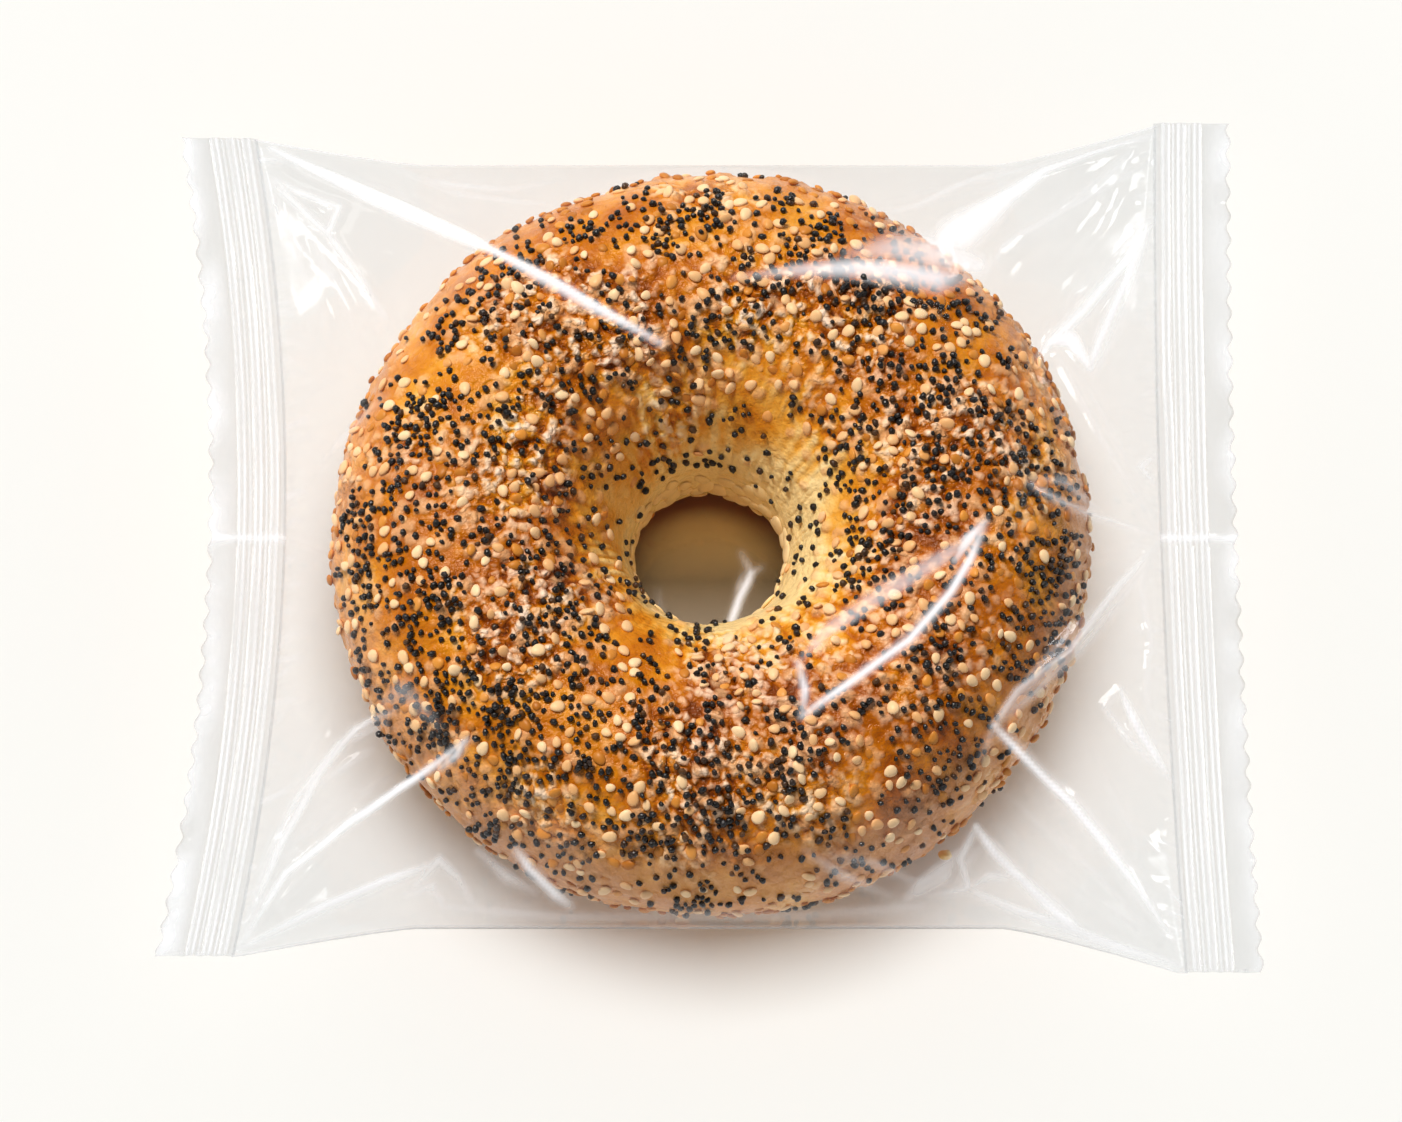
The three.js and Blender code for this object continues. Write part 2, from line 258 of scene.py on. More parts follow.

# folds in the upper film, each a line of points (x, y, width, height) in mm; lean is how much wider the
# left flank is than the right one, white is how far the fold is whitened, partly stress whitening and partly
# painted highlight, then the flanks' share of that white, laid on as painted sheen, and soft how near the
# crest (0 to 1) the flanks begin to clear
topFolds = {
    "farLeftBand": {"lean": 0.35, "white": 0.95, "flankSheen": 0.95, "soft": 0.25, "line": (
        (-64.5, 61, 0.6, 0.15), (-55, 55.5, 1.7, 0.3), (-45, 49.5, 2.7, 0.5), (-36, 43, 2.2, 0.5),
        (-30.3, 38.6, 1.0, 0.4), (-24, 34.2, 1.8, 0.6), (-17, 29.5, 1.7, 0.55), (-7, 23.8, 0.4, 0.2))},
    "farLeftStarA": {"lean": 1.4, "white": 0.3, "line": (
        (-66, 57, 0.6, 0.1), (-63.5, 51, 1.8, 0.4), (-61.5, 46.5, 1.4, 0.2))},
    "farLeftStarB": {"lean": 0.8, "white": 0.4, "line": (
        (-66, 57, 0.6, 0.1), (-60, 50.5, 2.0, 0.5), (-55.7, 45.4, 1.5, 0.6), (-51, 37.5, 1.6, 0.4),
        (-47, 30.5, 1.0, 0.1))},
    "farLeftStarC": {"lean": 1.2, "white": 0.4, "line": (
        (-66, 57, 0.6, 0.1), (-60, 53, 1.6, 0.4), (-54.2, 49.8, 1.3, 0.5), (-55.7, 45.4, 1.0, 0.4))},
    "farLeftStarD": {"lean": 1.0, "white": 0.25, "line": (
        (-61.5, 46.5, 0.9, 0.2), (-58.5, 47.2, 1.1, 0.35), (-55.7, 45.4, 0.8, 0.2))},
    "farEdgeFoldA": {"lean": 1.6, "white": 0.25, "line": (
        (-42, 55.4, 0.8, 0.1), (-37, 53, 2.2, 0.5), (-30, 51.6, 1.0, 0.2), (-22, 53.5, 0.8, 0.1))},
    "farEdgeFoldB": {"lean": 0.7, "white": 0.15, "line": (
        (-46, 57.4, 0.8, 0.1), (-36, 50.5, 1.8, 0.4), (-24, 47.5, 1.2, 0.2))},
    "farRightBand": {"lean": 1.0, "white": 0.7, "flankSheen": 0.95, "soft": 0.1, "line": (
        (65, 63, 0.6, 0.1), (57, 60, 0.9, 0.2), (49.4, 56.5, 1.3, 0.25), (43.5, 51, 2.2, 0.4),
        (39, 46, 3.8, 0.6), (36, 42.6, 4.6, 0.6), (33.5, 40, 2.8, 0.3), (31, 37.5, 1.0, 0.1))},
    "farRightGlare": {"lean": 1.0, "white": 0.78, "flankSheen": 1.0, "soft": 0.0, "line": (
        (3.6, 33.5, 0.6, 0.05), (12, 34.6, 1.6, 0.25), (21.4, 35.2, 2.6, 0.4), (28, 34.8, 3.4, 0.45),
        (33, 34.4, 3.6, 0.4), (37, 35, 1.6, 0.1))},
    "farRightVeil": {"lean": 1.0, "white": 0.62, "flankSheen": 1.0, "soft": 0.0, "line": (
        (20, 37.6, 1.8, 0.1), (27, 39, 4.2, 0.35), (33, 38.6, 5.6, 0.4), (38.5, 37.5, 3.2, 0.25))},
    "farRightCross": {"lean": 0.8, "white": 0.2, "line": (
        (44, 58.2, 0.8, 0.2), (37, 53.4, 1.8, 0.5), (30.6, 48, 1.2, 0.3), (24, 45.4, 0.8, 0.1))},
    "farRightCorner": {"lean": 1.3, "white": 0.2, "line": (
        (65.4, 59, 0.8, 0.1), (53, 50, 3.2, 0.5), (43, 41.5, 2.0, 0.4), (38, 33, 1.2, 0.1))},
    "farRightArc": {"lean": 0.6, "white": 0.2, "line": (
        (36.6, 47.5, 1.0, 0.3), (35, 41.5, 1.4, 0.5), (36.2, 35.4, 0.8, 0.1))},
    "rightTwinA": {"lean": 0.8, "white": 0.7, "flankSheen": 0.5, "line": (
        (65.5, 50, 0.6, 0.1), (60.5, 41.5, 1.4, 0.5), (54.5, 32.5, 1.8, 0.7), (49.4, 26.3, 1.4, 0.4),
        (47, 23, 0.8, 0))},
    "rightTwinB": {"lean": 1.8, "white": 0.7, "flankSheen": 0.4, "line": (
        (64.5, 47.5, 0.6, 0.1), (60.5, 38, 1.4, 0.5), (57, 29, 1.6, 0.7), (55.2, 23.6, 1.0, 0.2))},
    "rightTwinEnd": {"lean": 1.0, "white": 1.0, "flankSheen": 0.9, "line": (
        (49.4, 26.3, 0.8, 0.3), (52.4, 27.6, 2.0, 0.5), (55.2, 23.6, 0.8, 0.2))},
    "rightArcA": {"lean": 1.2, "white": 0.2, "line": (
        (49.7, 25.7, 0.6, 0.1), (53, 19.6, 0.9, 0.35), (57, 12.6, 0.9, 0.35), (65.3, 0.8, 0.6, 0.1))},
    "rightArcB": {"lean": 1.0, "white": 0.15, "line": (
        (53, 23, 0.6, 0.1), (57.2, 16.5, 0.9, 0.3), (65.3, 1.6, 0.6, 0.1))},
    "rightLeafA": {"lean": 0.8, "white": 0.35, "line": (
        (44.6, 3.6, 0.5, 0), (49.5, 1.6, 1.6, 0.6), (55, 0.6, 1.4, 0.5), (65.3, 0.6, 0.6, 0.1))},
    "rightLeafB": {"lean": 1.6, "white": 0.3, "line": (
        (44.6, 3.6, 0.5, 0), (51, 4.6, 1.2, 0.4), (56, 1.6, 0.8, 0.2))},
    "sealPatch": {"lean": 1.0, "white": 0.4, "line": (
        (65.4, 13.4, 0.6, 0.1), (62.6, 10.4, 1.5, 0.5), (65.2, 8, 0.6, 0.1))},
    "nearRightRidge": {"lean": 1.9, "white": 0.95, "flankSheen": 0.3, "line": (
        (40.6, -33, 0.6, 0.25), (44, -36, 1.1, 0.4), (48.3, -39.7, 0.9, 0.35), (51.5, -42.4, 1.2, 0.5),
        (56, -47, 1.0, 0.4), (61, -52.8, 0.8, 0.25), (66.2, -60.2, 0.6, 0.1))},
    "nearRightVeilA": {"lean": 0.5, "white": 0.45, "flankSheen": 0.6, "line": (
        (40.6, -33, 0.8, 0.2), (44, -27.6, 2.0, 0.7), (51.6, -20.6, 2.0, 0.7), (59, -9, 1.4, 0.4),
        (65.6, 0, 0.6, 0.1))},
    "nearRightVeilB": {"lean": 1.5, "white": 0.3, "line": (
        (40.6, -33, 0.8, 0.1), (46.4, -27.5, 1.3, 0.5), (53.6, -19.6, 1.5, 0.5), (65.6, -1, 0.6, 0.1))},
    "nearRightVeilC": {"lean": 1.0, "white": 0.25, "line": (
        (38.6, -37.6, 0.5, 0.1), (40.6, -33, 1.0, 0.4), (48, -22.5, 1.0, 0.35), (55, -13.6, 0.8, 0.15))},
    "rightWavy": {"lean": 1.0, "white": 0.2, "line": (
        (63.6, -2, 0.6, 0.2), (62.4, -9, 0.9, 0.4), (63.8, -16, 0.8, 0.35), (62.8, -24, 0.9, 0.3),
        (64.6, -33, 0.6, 0.1))},
    "smallFoldA": {"lean": 1.5, "white": 0.8, "flankSheen": 0.4, "line": (
        (59, -24.5, 0.6, 0.15), (61.4, -29.6, 1.5, 0.6), (66.4, -36.4, 0.6, 0.1))},
    "smallFoldB": {"lean": 0.7, "white": 0.35, "line": (
        (59, -24.5, 0.6, 0.15), (56.6, -27.6, 0.9, 0.3), (59.6, -31.4, 1.0, 0.4), (66.4, -36.4, 0.6, 0.1))},
    "smallFoldC": {"lean": 1.0, "white": 0.35, "line": (
        (59.6, -31.4, 0.6, 0.2), (61.6, -28.4, 0.8, 0.3), (62.8, -31.6, 0.5, 0.1))},
    "nearFoldA": {"lean": 1.6, "white": 0.75, "flankSheen": 0.5, "line": (
        (38, -46.6, 0.5, 0.25), (40.6, -49.6, 1.1, 0.5), (44.4, -52.6, 0.8, 0.4), (49.6, -57, 1.3, 0.6),
        (53, -59.4, 0.6, 0.2))},
    "nearFoldB": {"lean": 0.8, "white": 0.45, "flankSheen": 0.8, "line": (
        (38, -46.6, 0.5, 0.25), (35.8, -50.6, 1.0, 0.45), (37, -54, 0.6, 0.3), (30.6, -55, 0.6, 0.1))},
    "nearFoldE": {"lean": 1.0, "white": 0.35, "flankSheen": 1.0, "line": (
        (35.4, -49.8, 0.6, 0.2), (33.4, -52.2, 2.0, 0.4), (30, -54, 1.6, 0.4), (27.6, -55.6, 0.5, 0.1))},
    "nearFoldC": {"lean": 1.0, "white": 0.4, "flankSheen": 0.7, "line": (
        (37, -54, 0.5, 0.2), (40, -52.4, 0.9, 0.35), (44.4, -52.6, 0.5, 0.2))},
    "nearFoldD": {"lean": 1.0, "white": 0.3, "line": (
        (34.6, -54.6, 0.5, 0.15), (36.8, -50.8, 0.7, 0.3), (38.6, -49, 0.5, 0.1))},
    "nearRightHem": {"lean": 1.5, "white": 0.6, "line": (
        (37, -54, 0.6, 0.2), (47, -57.4, 0.9, 0.4), (58, -61.2, 0.9, 0.4), (67, -64, 0.6, 0.1))},
    "nearLeftRidge": {"lean": 0.55, "white": 1.0, "flankSheen": 0.25, "line": (
        (-67.4, -61.4, 0.6, 0.05), (-60.7, -51.1, 1.0, 0.22), (-51, -44.8, 1.2, 0.4), (-41.9, -39.7, 1.1, 0.4),
        (-34.6, -35.4, 0.6, 0.15))},
    "nearLeftGlint": {"lean": 1.0, "white": 0.7, "flankSheen": 0.4, "line": (
        (-35, -35.6, 0.5, 0.3), (-36, -37.2, 0.9, 0.4), (-38.4, -38.6, 0.5, 0.2))},
    "nearLeftLow": {"lean": 0.8, "white": 0.7, "line": (
        (-67.4, -61.4, 0.6, 0.1), (-55.6, -56.4, 1.1, 0.4), (-46.5, -53, 1.2, 0.45), (-39, -50.8, 0.6, 0.1))},
    "nearLeftBandA": {"lean": 1.2, "white": 0.5, "flankSheen": 0.6, "line": (
        (-66.5, -59, 0.6, 0.1), (-61.6, -47, 1.1, 0.4), (-55.8, -37.2, 1.2, 0.45), (-50.6, -31.6, 1.1, 0.4),
        (-45, -29.6, 0.8, 0.1))},
    "nearLeftBandB": {"lean": 0.9, "white": 0.4, "flankSheen": 0.6, "line": (
        (-64.5, -50.6, 0.6, 0.1), (-59, -40, 0.9, 0.35), (-53, -33.4, 1.1, 0.4), (-46.2, -31.4, 0.8, 0.1))},
    "nearLeftBandC": {"lean": 1.0, "white": 0.25, "line": (
        (-57.4, -39.6, 0.6, 0.1), (-52, -36.8, 0.9, 0.3), (-48.4, -35, 0.5, 0.1))},
    "nearLeftPatch": {"lean": 1.0, "white": 0.22, "flankSheen": 0.9, "soft": 0.0, "line": (
        (-47.6, -29.4, 1.0, 0.1), (-44, -27, 2.4, 0.4), (-40.6, -30.4, 1.6, 0.3), (-38.4, -33, 0.6, 0.1))},
    "nearEdgeKnotA": {"lean": 1.0, "white": 0.45, "flankSheen": 0.7, "line": (
        (-42, -53.4, 0.6, 0.2), (-38.6, -50.6, 1.2, 0.4), (-36, -52.6, 0.9, 0.3), (-33.6, -56, 0.5, 0.1))},
    "nearEdgeKnotB": {"lean": 1.0, "white": 0.4, "flankSheen": 0.6, "line": (
        (-43.6, -54.6, 0.5, 0.1), (-39.6, -53.6, 0.9, 0.3), (-37.4, -56.6, 0.5, 0.1))},
    "nearEdgeKnotC": {"lean": 0.7, "white": 0.9, "flankSheen": 0.7, "soft": 0.1, "line": (
        (-27.5, -49.8, 0.5, 0.15), (-25.5, -52.2, 1.1, 0.5), (-22, -54.8, 1.2, 0.4), (-19.7, -56.1, 0.5, 0.1))},
    "nearEdgeKnotD": {"lean": 1.0, "white": 0.5, "flankSheen": 0.6, "line": (
        (-33, -49.6, 0.5, 0.15), (-29, -52.8, 1.4, 0.35), (-24.6, -54.6, 0.6, 0.1))},
    "nearHem": {"lean": 0.8, "white": 0.3, "line": (
        (-38, -56, 0.5, 0.2), (-22, -57.2, 0.5, 0.3), (-4, -57.4, 0.5, 0.2), (14, -57.2, 0.5, 0.3),
        (30.6, -56, 0.5, 0.2))},
    "nearCrinkleA": {"lean": 1.0, "white": 0.3, "line": (
        (13.4, -50.4, 0.6, 0.1), (19, -53, 1.0, 0.4), (26, -55, 0.6, 0.1))},
    "nearCrinkleB": {"lean": 1.3, "white": 0.25, "line": (
        (17, -50.8, 0.6, 0.1), (24, -51.6, 1.0, 0.35), (33, -54.6, 0.6, 0.1))},
    "leafUpper": {"lean": 0.6, "white": 0.42, "flankSheen": 0.9, "line": (
        (39, -4.6, 0.5, 0), (33.4, -9.4, 2.0, 0.5), (25, -14.6, 2.6, 0.6), (17, -20, 2.0, 0.5),
        (12.6, -24.6, 0.8, 0.1))},
    "leafLower": {"lean": 0.9, "white": 1.0, "flankSheen": 0.35, "line": (
        (39, -4.6, 0.6, 0.2), (37.4, -9, 1.1, 0.4), (34.4, -14.4, 1.4, 0.5), (28.4, -21.6, 1.6, 0.55),
        (23.8, -25, 1.4, 0.5), (19.6, -28.2, 1.2, 0.45), (13.2, -32.8, 0.6, 0.2))},
    "leafTip": {"lean": 1.0, "white": 0.9, "flankSheen": 0.9, "line": (
        (39.4, -3.6, 0.5, 0.2), (37, -6.4, 1.3, 0.5), (35, -9.6, 0.6, 0.2))},
    "leafEnd": {"lean": 1.0, "white": 0.9, "flankSheen": 0.5, "line": (
        (12.6, -24.6, 0.6, 0.15), (13.6, -29, 1.0, 0.4), (13.2, -32.8, 0.5, 0.1))},
    "leftSmall": {"lean": 1.0, "white": 0.25, "line": (
        (-56, 9.6, 0.5, 0.1), (-51.4, 14, 1.0, 0.35), (-46.6, 17.4, 0.6, 0.1))},
}

# folds in the lower film, the ones named after the hole seen through it
underFolds = {
    "holeStreak": {"lean": 1.0, "white": 0.95, "line": (
        (3.2, -6.4, 0.6, 0.35), (4.5, -2.6, 0.8, 0.45), (5.6, -0.3, 0.8, 0.4), (6.2, 1.3, 0.5, 0.3))},
    "holeFork": {"lean": 1.0, "white": 0.5, "line": (
        (4.7, 4.3, 0.5, 0.1), (6.2, 1.3, 0.7, 0.3), (7.6, 2, 0.5, 0.1))},
    "holeTwin": {"lean": 1.0, "white": 0.45, "line": (
        (3.9, -3.4, 0.5, 0.1), (4.5, -0.9, 0.6, 0.3), (5.1, 1.2, 0.4, 0.1))},
    "holeFaint": {"lean": 1.0, "white": 0.22, "line": (
        (-7.6, -1.6, 0.9, 0.1), (-7.2, -4.4, 1.1, 0.2), (-6.4, -6.4, 0.9, 0.1))},
    "underA": {"lean": 1.0, "white": 0.15, "line": (
        (-64, -50, 1.2, 0.1), (-54, -38, 2.2, 0.7), (-44, -30, 1.2, 0.1))},
    "underB": {"lean": 1.0, "white": 0.15, "line": (
        (64, 50, 1.2, 0.1), (54, 40, 2.2, 0.7), (44, 32, 1.2, 0.1))},
    "underC": {"lean": 1.0, "white": 0.15, "line": (
        (-64, 52, 1.2, 0.1), (-55, 42, 2.2, 0.7), (-44, 33, 1.2, 0.1))},
    "underD": {"lean": 1.0, "white": 0.15, "line": (
        (66, -56, 1.2, 0.1), (56, -42, 2.2, 0.7), (45, -31, 1.2, 0.1))},
    "finLapLeft": {"lean": 3.0, "white": 0.12, "line": (
        (-61, 0.5, 1.0, 0.3), (-38, 0.7, 1.2, 0.25), (-17, 0.6, 1.0, 0))},
    "finLapRight": {"lean": 3.0, "white": 0.12, "line": (
        (17, 0.4, 1.0, 0), (40, 0.3, 1.2, 0.25), (65, 0.5, 1.0, 0.3))},
}


def foldField(x, y, fold, raised, white):
    # a crisp fold along a line of points: a tent with a rounded top, a whitened line along that top and a share of
    # that white over its flanks; the white is partly stress whitening and partly painted highlight and sheen
    line, lean, whitenedAndHighlit = fold["line"], fold["lean"], fold["white"]
    nearest = np.full(x.shape, 1e9)
    tent = np.zeros(x.shape)
    whiteningAndHighlights = np.zeros(x.shape)
    rounding = filmValues["foldRound"]
    for (x0, y0, w0, h0), (x1, y1, w1, h1) in zip(line, line[1:]):
        dx, dy = x1 - x0, y1 - y0
        share = np.clip(((x - x0) * dx + (y - y0) * dy) / (dx * dx + dy * dy), 0, 1)
        offX, offY = x - x0 - share * dx, y - y0 - share * dy
        away = np.hypot(offX, offY)
        width = w0 + (w1 - w0) * share
        height = h0 + (h1 - h0) * share
        side = np.where(offY * dx - offX * dy > 0, width * lean, width)
        here = height * np.clip(1 - (np.sqrt(away ** 2 + rounding ** 2) - rounding) / side, 0, 1)
        crease = np.exp(-(away / filmValues["whiteLine"]) ** 2)
        flankSheen = fold.get("flankSheen", 0.25) * smoothStep(1.0, fold.get("soft", 0.2), away / side)
        lit = np.minimum(1, height / 0.4) * np.maximum(whitenedAndHighlit * crease, flankSheen * whitenedAndHighlit)
        nearer = away < nearest
        tent = np.where(nearer, here, tent)
        whiteningAndHighlights = np.where(nearer, lit, whiteningAndHighlights)
        nearest = np.minimum(nearest, away)
    return raised + tent, np.maximum(white, whiteningAndHighlights)


def gatherFolds(rng):
    # short pleats that run into the film from both seals
    folds = []
    low, high = filmValues["gatherReach"]
    for seal in (leftSeal, rightSeal):
        count = int(2 * seal["halfWidth"] / filmValues["gatherSpacing"])
        for i in range(1, count):
            across = (i + rng.uniform(-0.4, 0.4)) / count * 2 - 1
            x, y = sealLine(seal, across), across * seal["halfWidth"]
            reach = rng.uniform(low, high) * rng.uniform(0.4, 1)
            slant = rng.uniform(-0.5, 0.5) - 0.5 * across
            height = rng.uniform(*filmValues["gatherHeight"])
            inward = -seal["side"]
            folds.append({"lean": rng.uniform(0.6, 1.6), "white": rng.uniform(0.05, 0.35), "line": (
                (x, y, rng.uniform(0.4, 0.8), height),
                (x + inward * reach * 0.4, y + slant * reach * 0.3, rng.uniform(0.5, 1.1), height * 0.8),
                (x + inward * reach, y + slant * reach, 0.5, 0))})
    return folds


def fanFolds(rng):
    # long faint folds that spread from the bag's four corners towards the ring
    folds = []
    for seal in (leftSeal, rightSeal):
        for end in (-1, 1):
            x, y = sealLine(seal, end) - seal["side"] * 1.5, end * (seal["halfWidth"] - 2)
            for _ in range(filmValues["fanLines"]):
                turn = math.radians(rng.uniform(18, 82))
                reach = rng.uniform(*filmValues["fanReach"])
                height = rng.uniform(*filmValues["fanHeight"])
                stepX, stepY = -seal["side"] * math.cos(turn), -end * math.sin(turn)
                bend = rng.uniform(-0.06, 0.06) * reach
                folds.append({"lean": rng.uniform(0.5, 1.8), "white": rng.uniform(0, 0.22), "line": (
                    (x + stepX * 3, y + stepY * 3, 0.5, height * 0.3),
                    (x + stepX * reach / 2 + stepY * bend, y + stepY * reach / 2 - stepX * bend,
                     rng.uniform(0.8, 2.2), height),
                    (x + stepX * reach, y + stepY * reach, 0.8, 0))})
    return folds


def crumple(x, y, rng):
    # low flat facets: a sum of triangle waves that run in different directions
    raised = np.zeros(x.shape)
    for _ in range(filmValues["crumpleWaves"]):
        turn = rng.uniform(0, math.pi)
        size = rng.uniform(*filmValues["crumpleSize"])
        sway = rng.uniform(0.5, 1.6) * np.sin((x * math.sin(turn) - y * math.cos(turn)) / size * 2.3)
        phase = (x * math.cos(turn) + y * math.sin(turn)) / size + sway * 0.25 + rng.uniform(0, 1)
        raised = raised + (np.abs((phase % 1) - 0.5) * 4 - 1) * size / 16
    return raised * filmValues["crumpleDepth"]


def gridPlaces(bm, columns, rows):
    # which column and row of the grid each vertex is
    places = np.array([(vert.co.x, vert.co.y) for vert in bm.verts])
    column = np.rint((places[:, 0] + 1) / 2 * columns).astype(int)
    row = np.rint((places[:, 1] + 1) / 2 * rows).astype(int)
    return column, row


def edgeShare(x, y):
    # 0 at the film's side edges and seals, 1 from edgeFade inwards
    fromSide = halfWidth(x) - np.abs(y)
    across = y / halfWidth(x)
    fromSeal = np.minimum(x - sealLine(leftSeal, across), sealLine(rightSeal, across) - x)
    return smoothStep(0, filmValues["edgeFade"], fromSide), smoothStep(0, 1.2, fromSeal)


def makeFilm(material):
    rng = np.random.default_rng(filmValues["seed"])
    edge = bagShape["edgeThickness"] / 2
    crown = bagShape["crownRadius"]

    columns, rows = filmValues["columns"], filmValues["rows"]
    top = tautHeights(
        columns, rows, 0, bagShape["seamHeight"] + edge,
        lambda radius: np.where(radius < crown, -bagShape["holeSag"], bagShape["airFill"]),
        lambda x, y: (lambda mean, ring=ringTop(x, y): np.clip(mean, ring, bagShape["bagHeight"])))
    x, y = planGrid(columns, rows, 0)
    raised, white = np.zeros(x.shape), np.zeros(x.shape)
    for fold in list(topFolds.values()) + gatherFolds(rng) + fanFolds(rng):
        raised, white = foldField(x, y, fold, raised, white)
    radius = np.hypot(x, y)
    # film that lies flat on the greasy crust wets out there and loses its shine
    cling = (1 - smoothStep(0.3, 1.8, top - ringTop(x, y))) * (1 - smoothStep(0.1, 0.3, raised))
    onRing = np.exp(-((radius - crown) / 15) ** 2)   # the film is tight here and hardly crumples
    raised = raised + (crumple(x, y, rng) + 0.05) * (1 - 0.75 * onRing)
    fromSide, fromSeal = edgeShare(x, y)
    top = top + raised * fromSide * (0.35 + 0.65 * fromSeal) * fromSeal
    # painted highlight: a white line along the film's side edges, where it folds round
    white = np.maximum(white, 0.35 * (1 - smoothStep(0, 0.5, halfWidth(x) - np.abs(y))))
    bm = bmesh.new()
    bmesh.ops.create_grid(bm, x_segments=columns, y_segments=rows, size=1)
    at = gridPlaces(bm, columns, rows)
    setPlaces(bm, np.stack([x[at], y[at], top[at]], axis=1) * mm)
    whiteningAndHighlights, stuck = list(white[at]), list(cling[at])

    columns, rows, gather = filmValues["underColumns"], filmValues["underRows"], filmValues["underGather"]
    base = tautHeights(
        columns, rows, gather, bagShape["seamHeight"] - edge,
        lambda radius: np.full(radius.shape, -bagShape["airFill"]),
        lambda x, y: (lambda mean, ring=ringBase(x, y): np.maximum(0, np.minimum(ring, mean))))
    x, y = planGrid(columns, rows, gather)
    raised, white = np.zeros(x.shape), np.zeros(x.shape)
    for fold in underFolds.values():
        raised, white = foldField(x, y, fold, raised, white)
    fromSide, fromSeal = edgeShare(x, y)
    free = smoothStep(1.5, 6, base) * (1 - smoothStep(12, 17, base))
    base = base + (raised + crumple(x, y, rng) * 2 * free) * fromSide * fromSeal
    under = bmesh.new()
    bmesh.ops.create_grid(under, x_segments=columns, y_segments=rows, size=1)
    at = gridPlaces(under, columns, rows)
    setPlaces(under, np.stack([x[at], y[at], np.clip(base[at], filmValues["offFloor"], None)], axis=1) * mm)
    whiteningAndHighlights.extend(white[at])
    stuck.extend(0 * white[at])
    # painted shade: the lower film seen through the hole is darkened and tinted, most on the far side, where the
    # floor lies in shade
    inHole = smoothStep(19, 13, np.hypot(x, y)) * (0.75 + 0.25 * np.clip(y / 9, -1, 1))
    holeShade = [0] * (len(whiteningAndHighlights) - len(white[at])) + list(inHole[at])
    bmesh.ops.reverse_faces(under, faces=under.faces)
    underMesh = meshFrom(under)
    bm.from_mesh(underMesh)
    bpy.data.meshes.remove(underMesh)
    bmesh.ops.bridge_loops(bm, edges=[e for e in bm.edges if e.is_boundary])
    mesh = meshFrom(bm)
    addLayer(mesh, "whitenedAndHighlit", np.array(whiteningAndHighlights))
    addLayer(mesh, "cling", np.array(stuck))
    addLayer(mesh, "dullAndShade", np.array(holeShade))
    return addPiece("wrapFilm", mesh, material)


sealValues = {
    "columns": 62, "rows": 360,
    "overlap": 0.4, "bandWidth": 7, "marginWidth": 4, "thickness": 0.22,
    "ridgeCount": 3, "ridgeHeight": 0.3, "ridgeSharp": 1.5,
    "fineHeight": 0.05, "fineCount": 9,
    "dull": 0.012, "troughShade": 0.06, "rimShade": 0.07,   # grey of the sealed layers, and painted shade in the crimp troughs and along the rim
    "scallopPitch": 3.8, "scallopDepth": 0.7,
    "finPlace": 0.5, "finWidth": 0.55, "finHeight": 0.3,   # mark that the lengthwise seam leaves across the seal
    "waveSize": 34, "waveHeight": 0.35,
    "flutterSize": 8, "flutterHeight": 0.45,
}


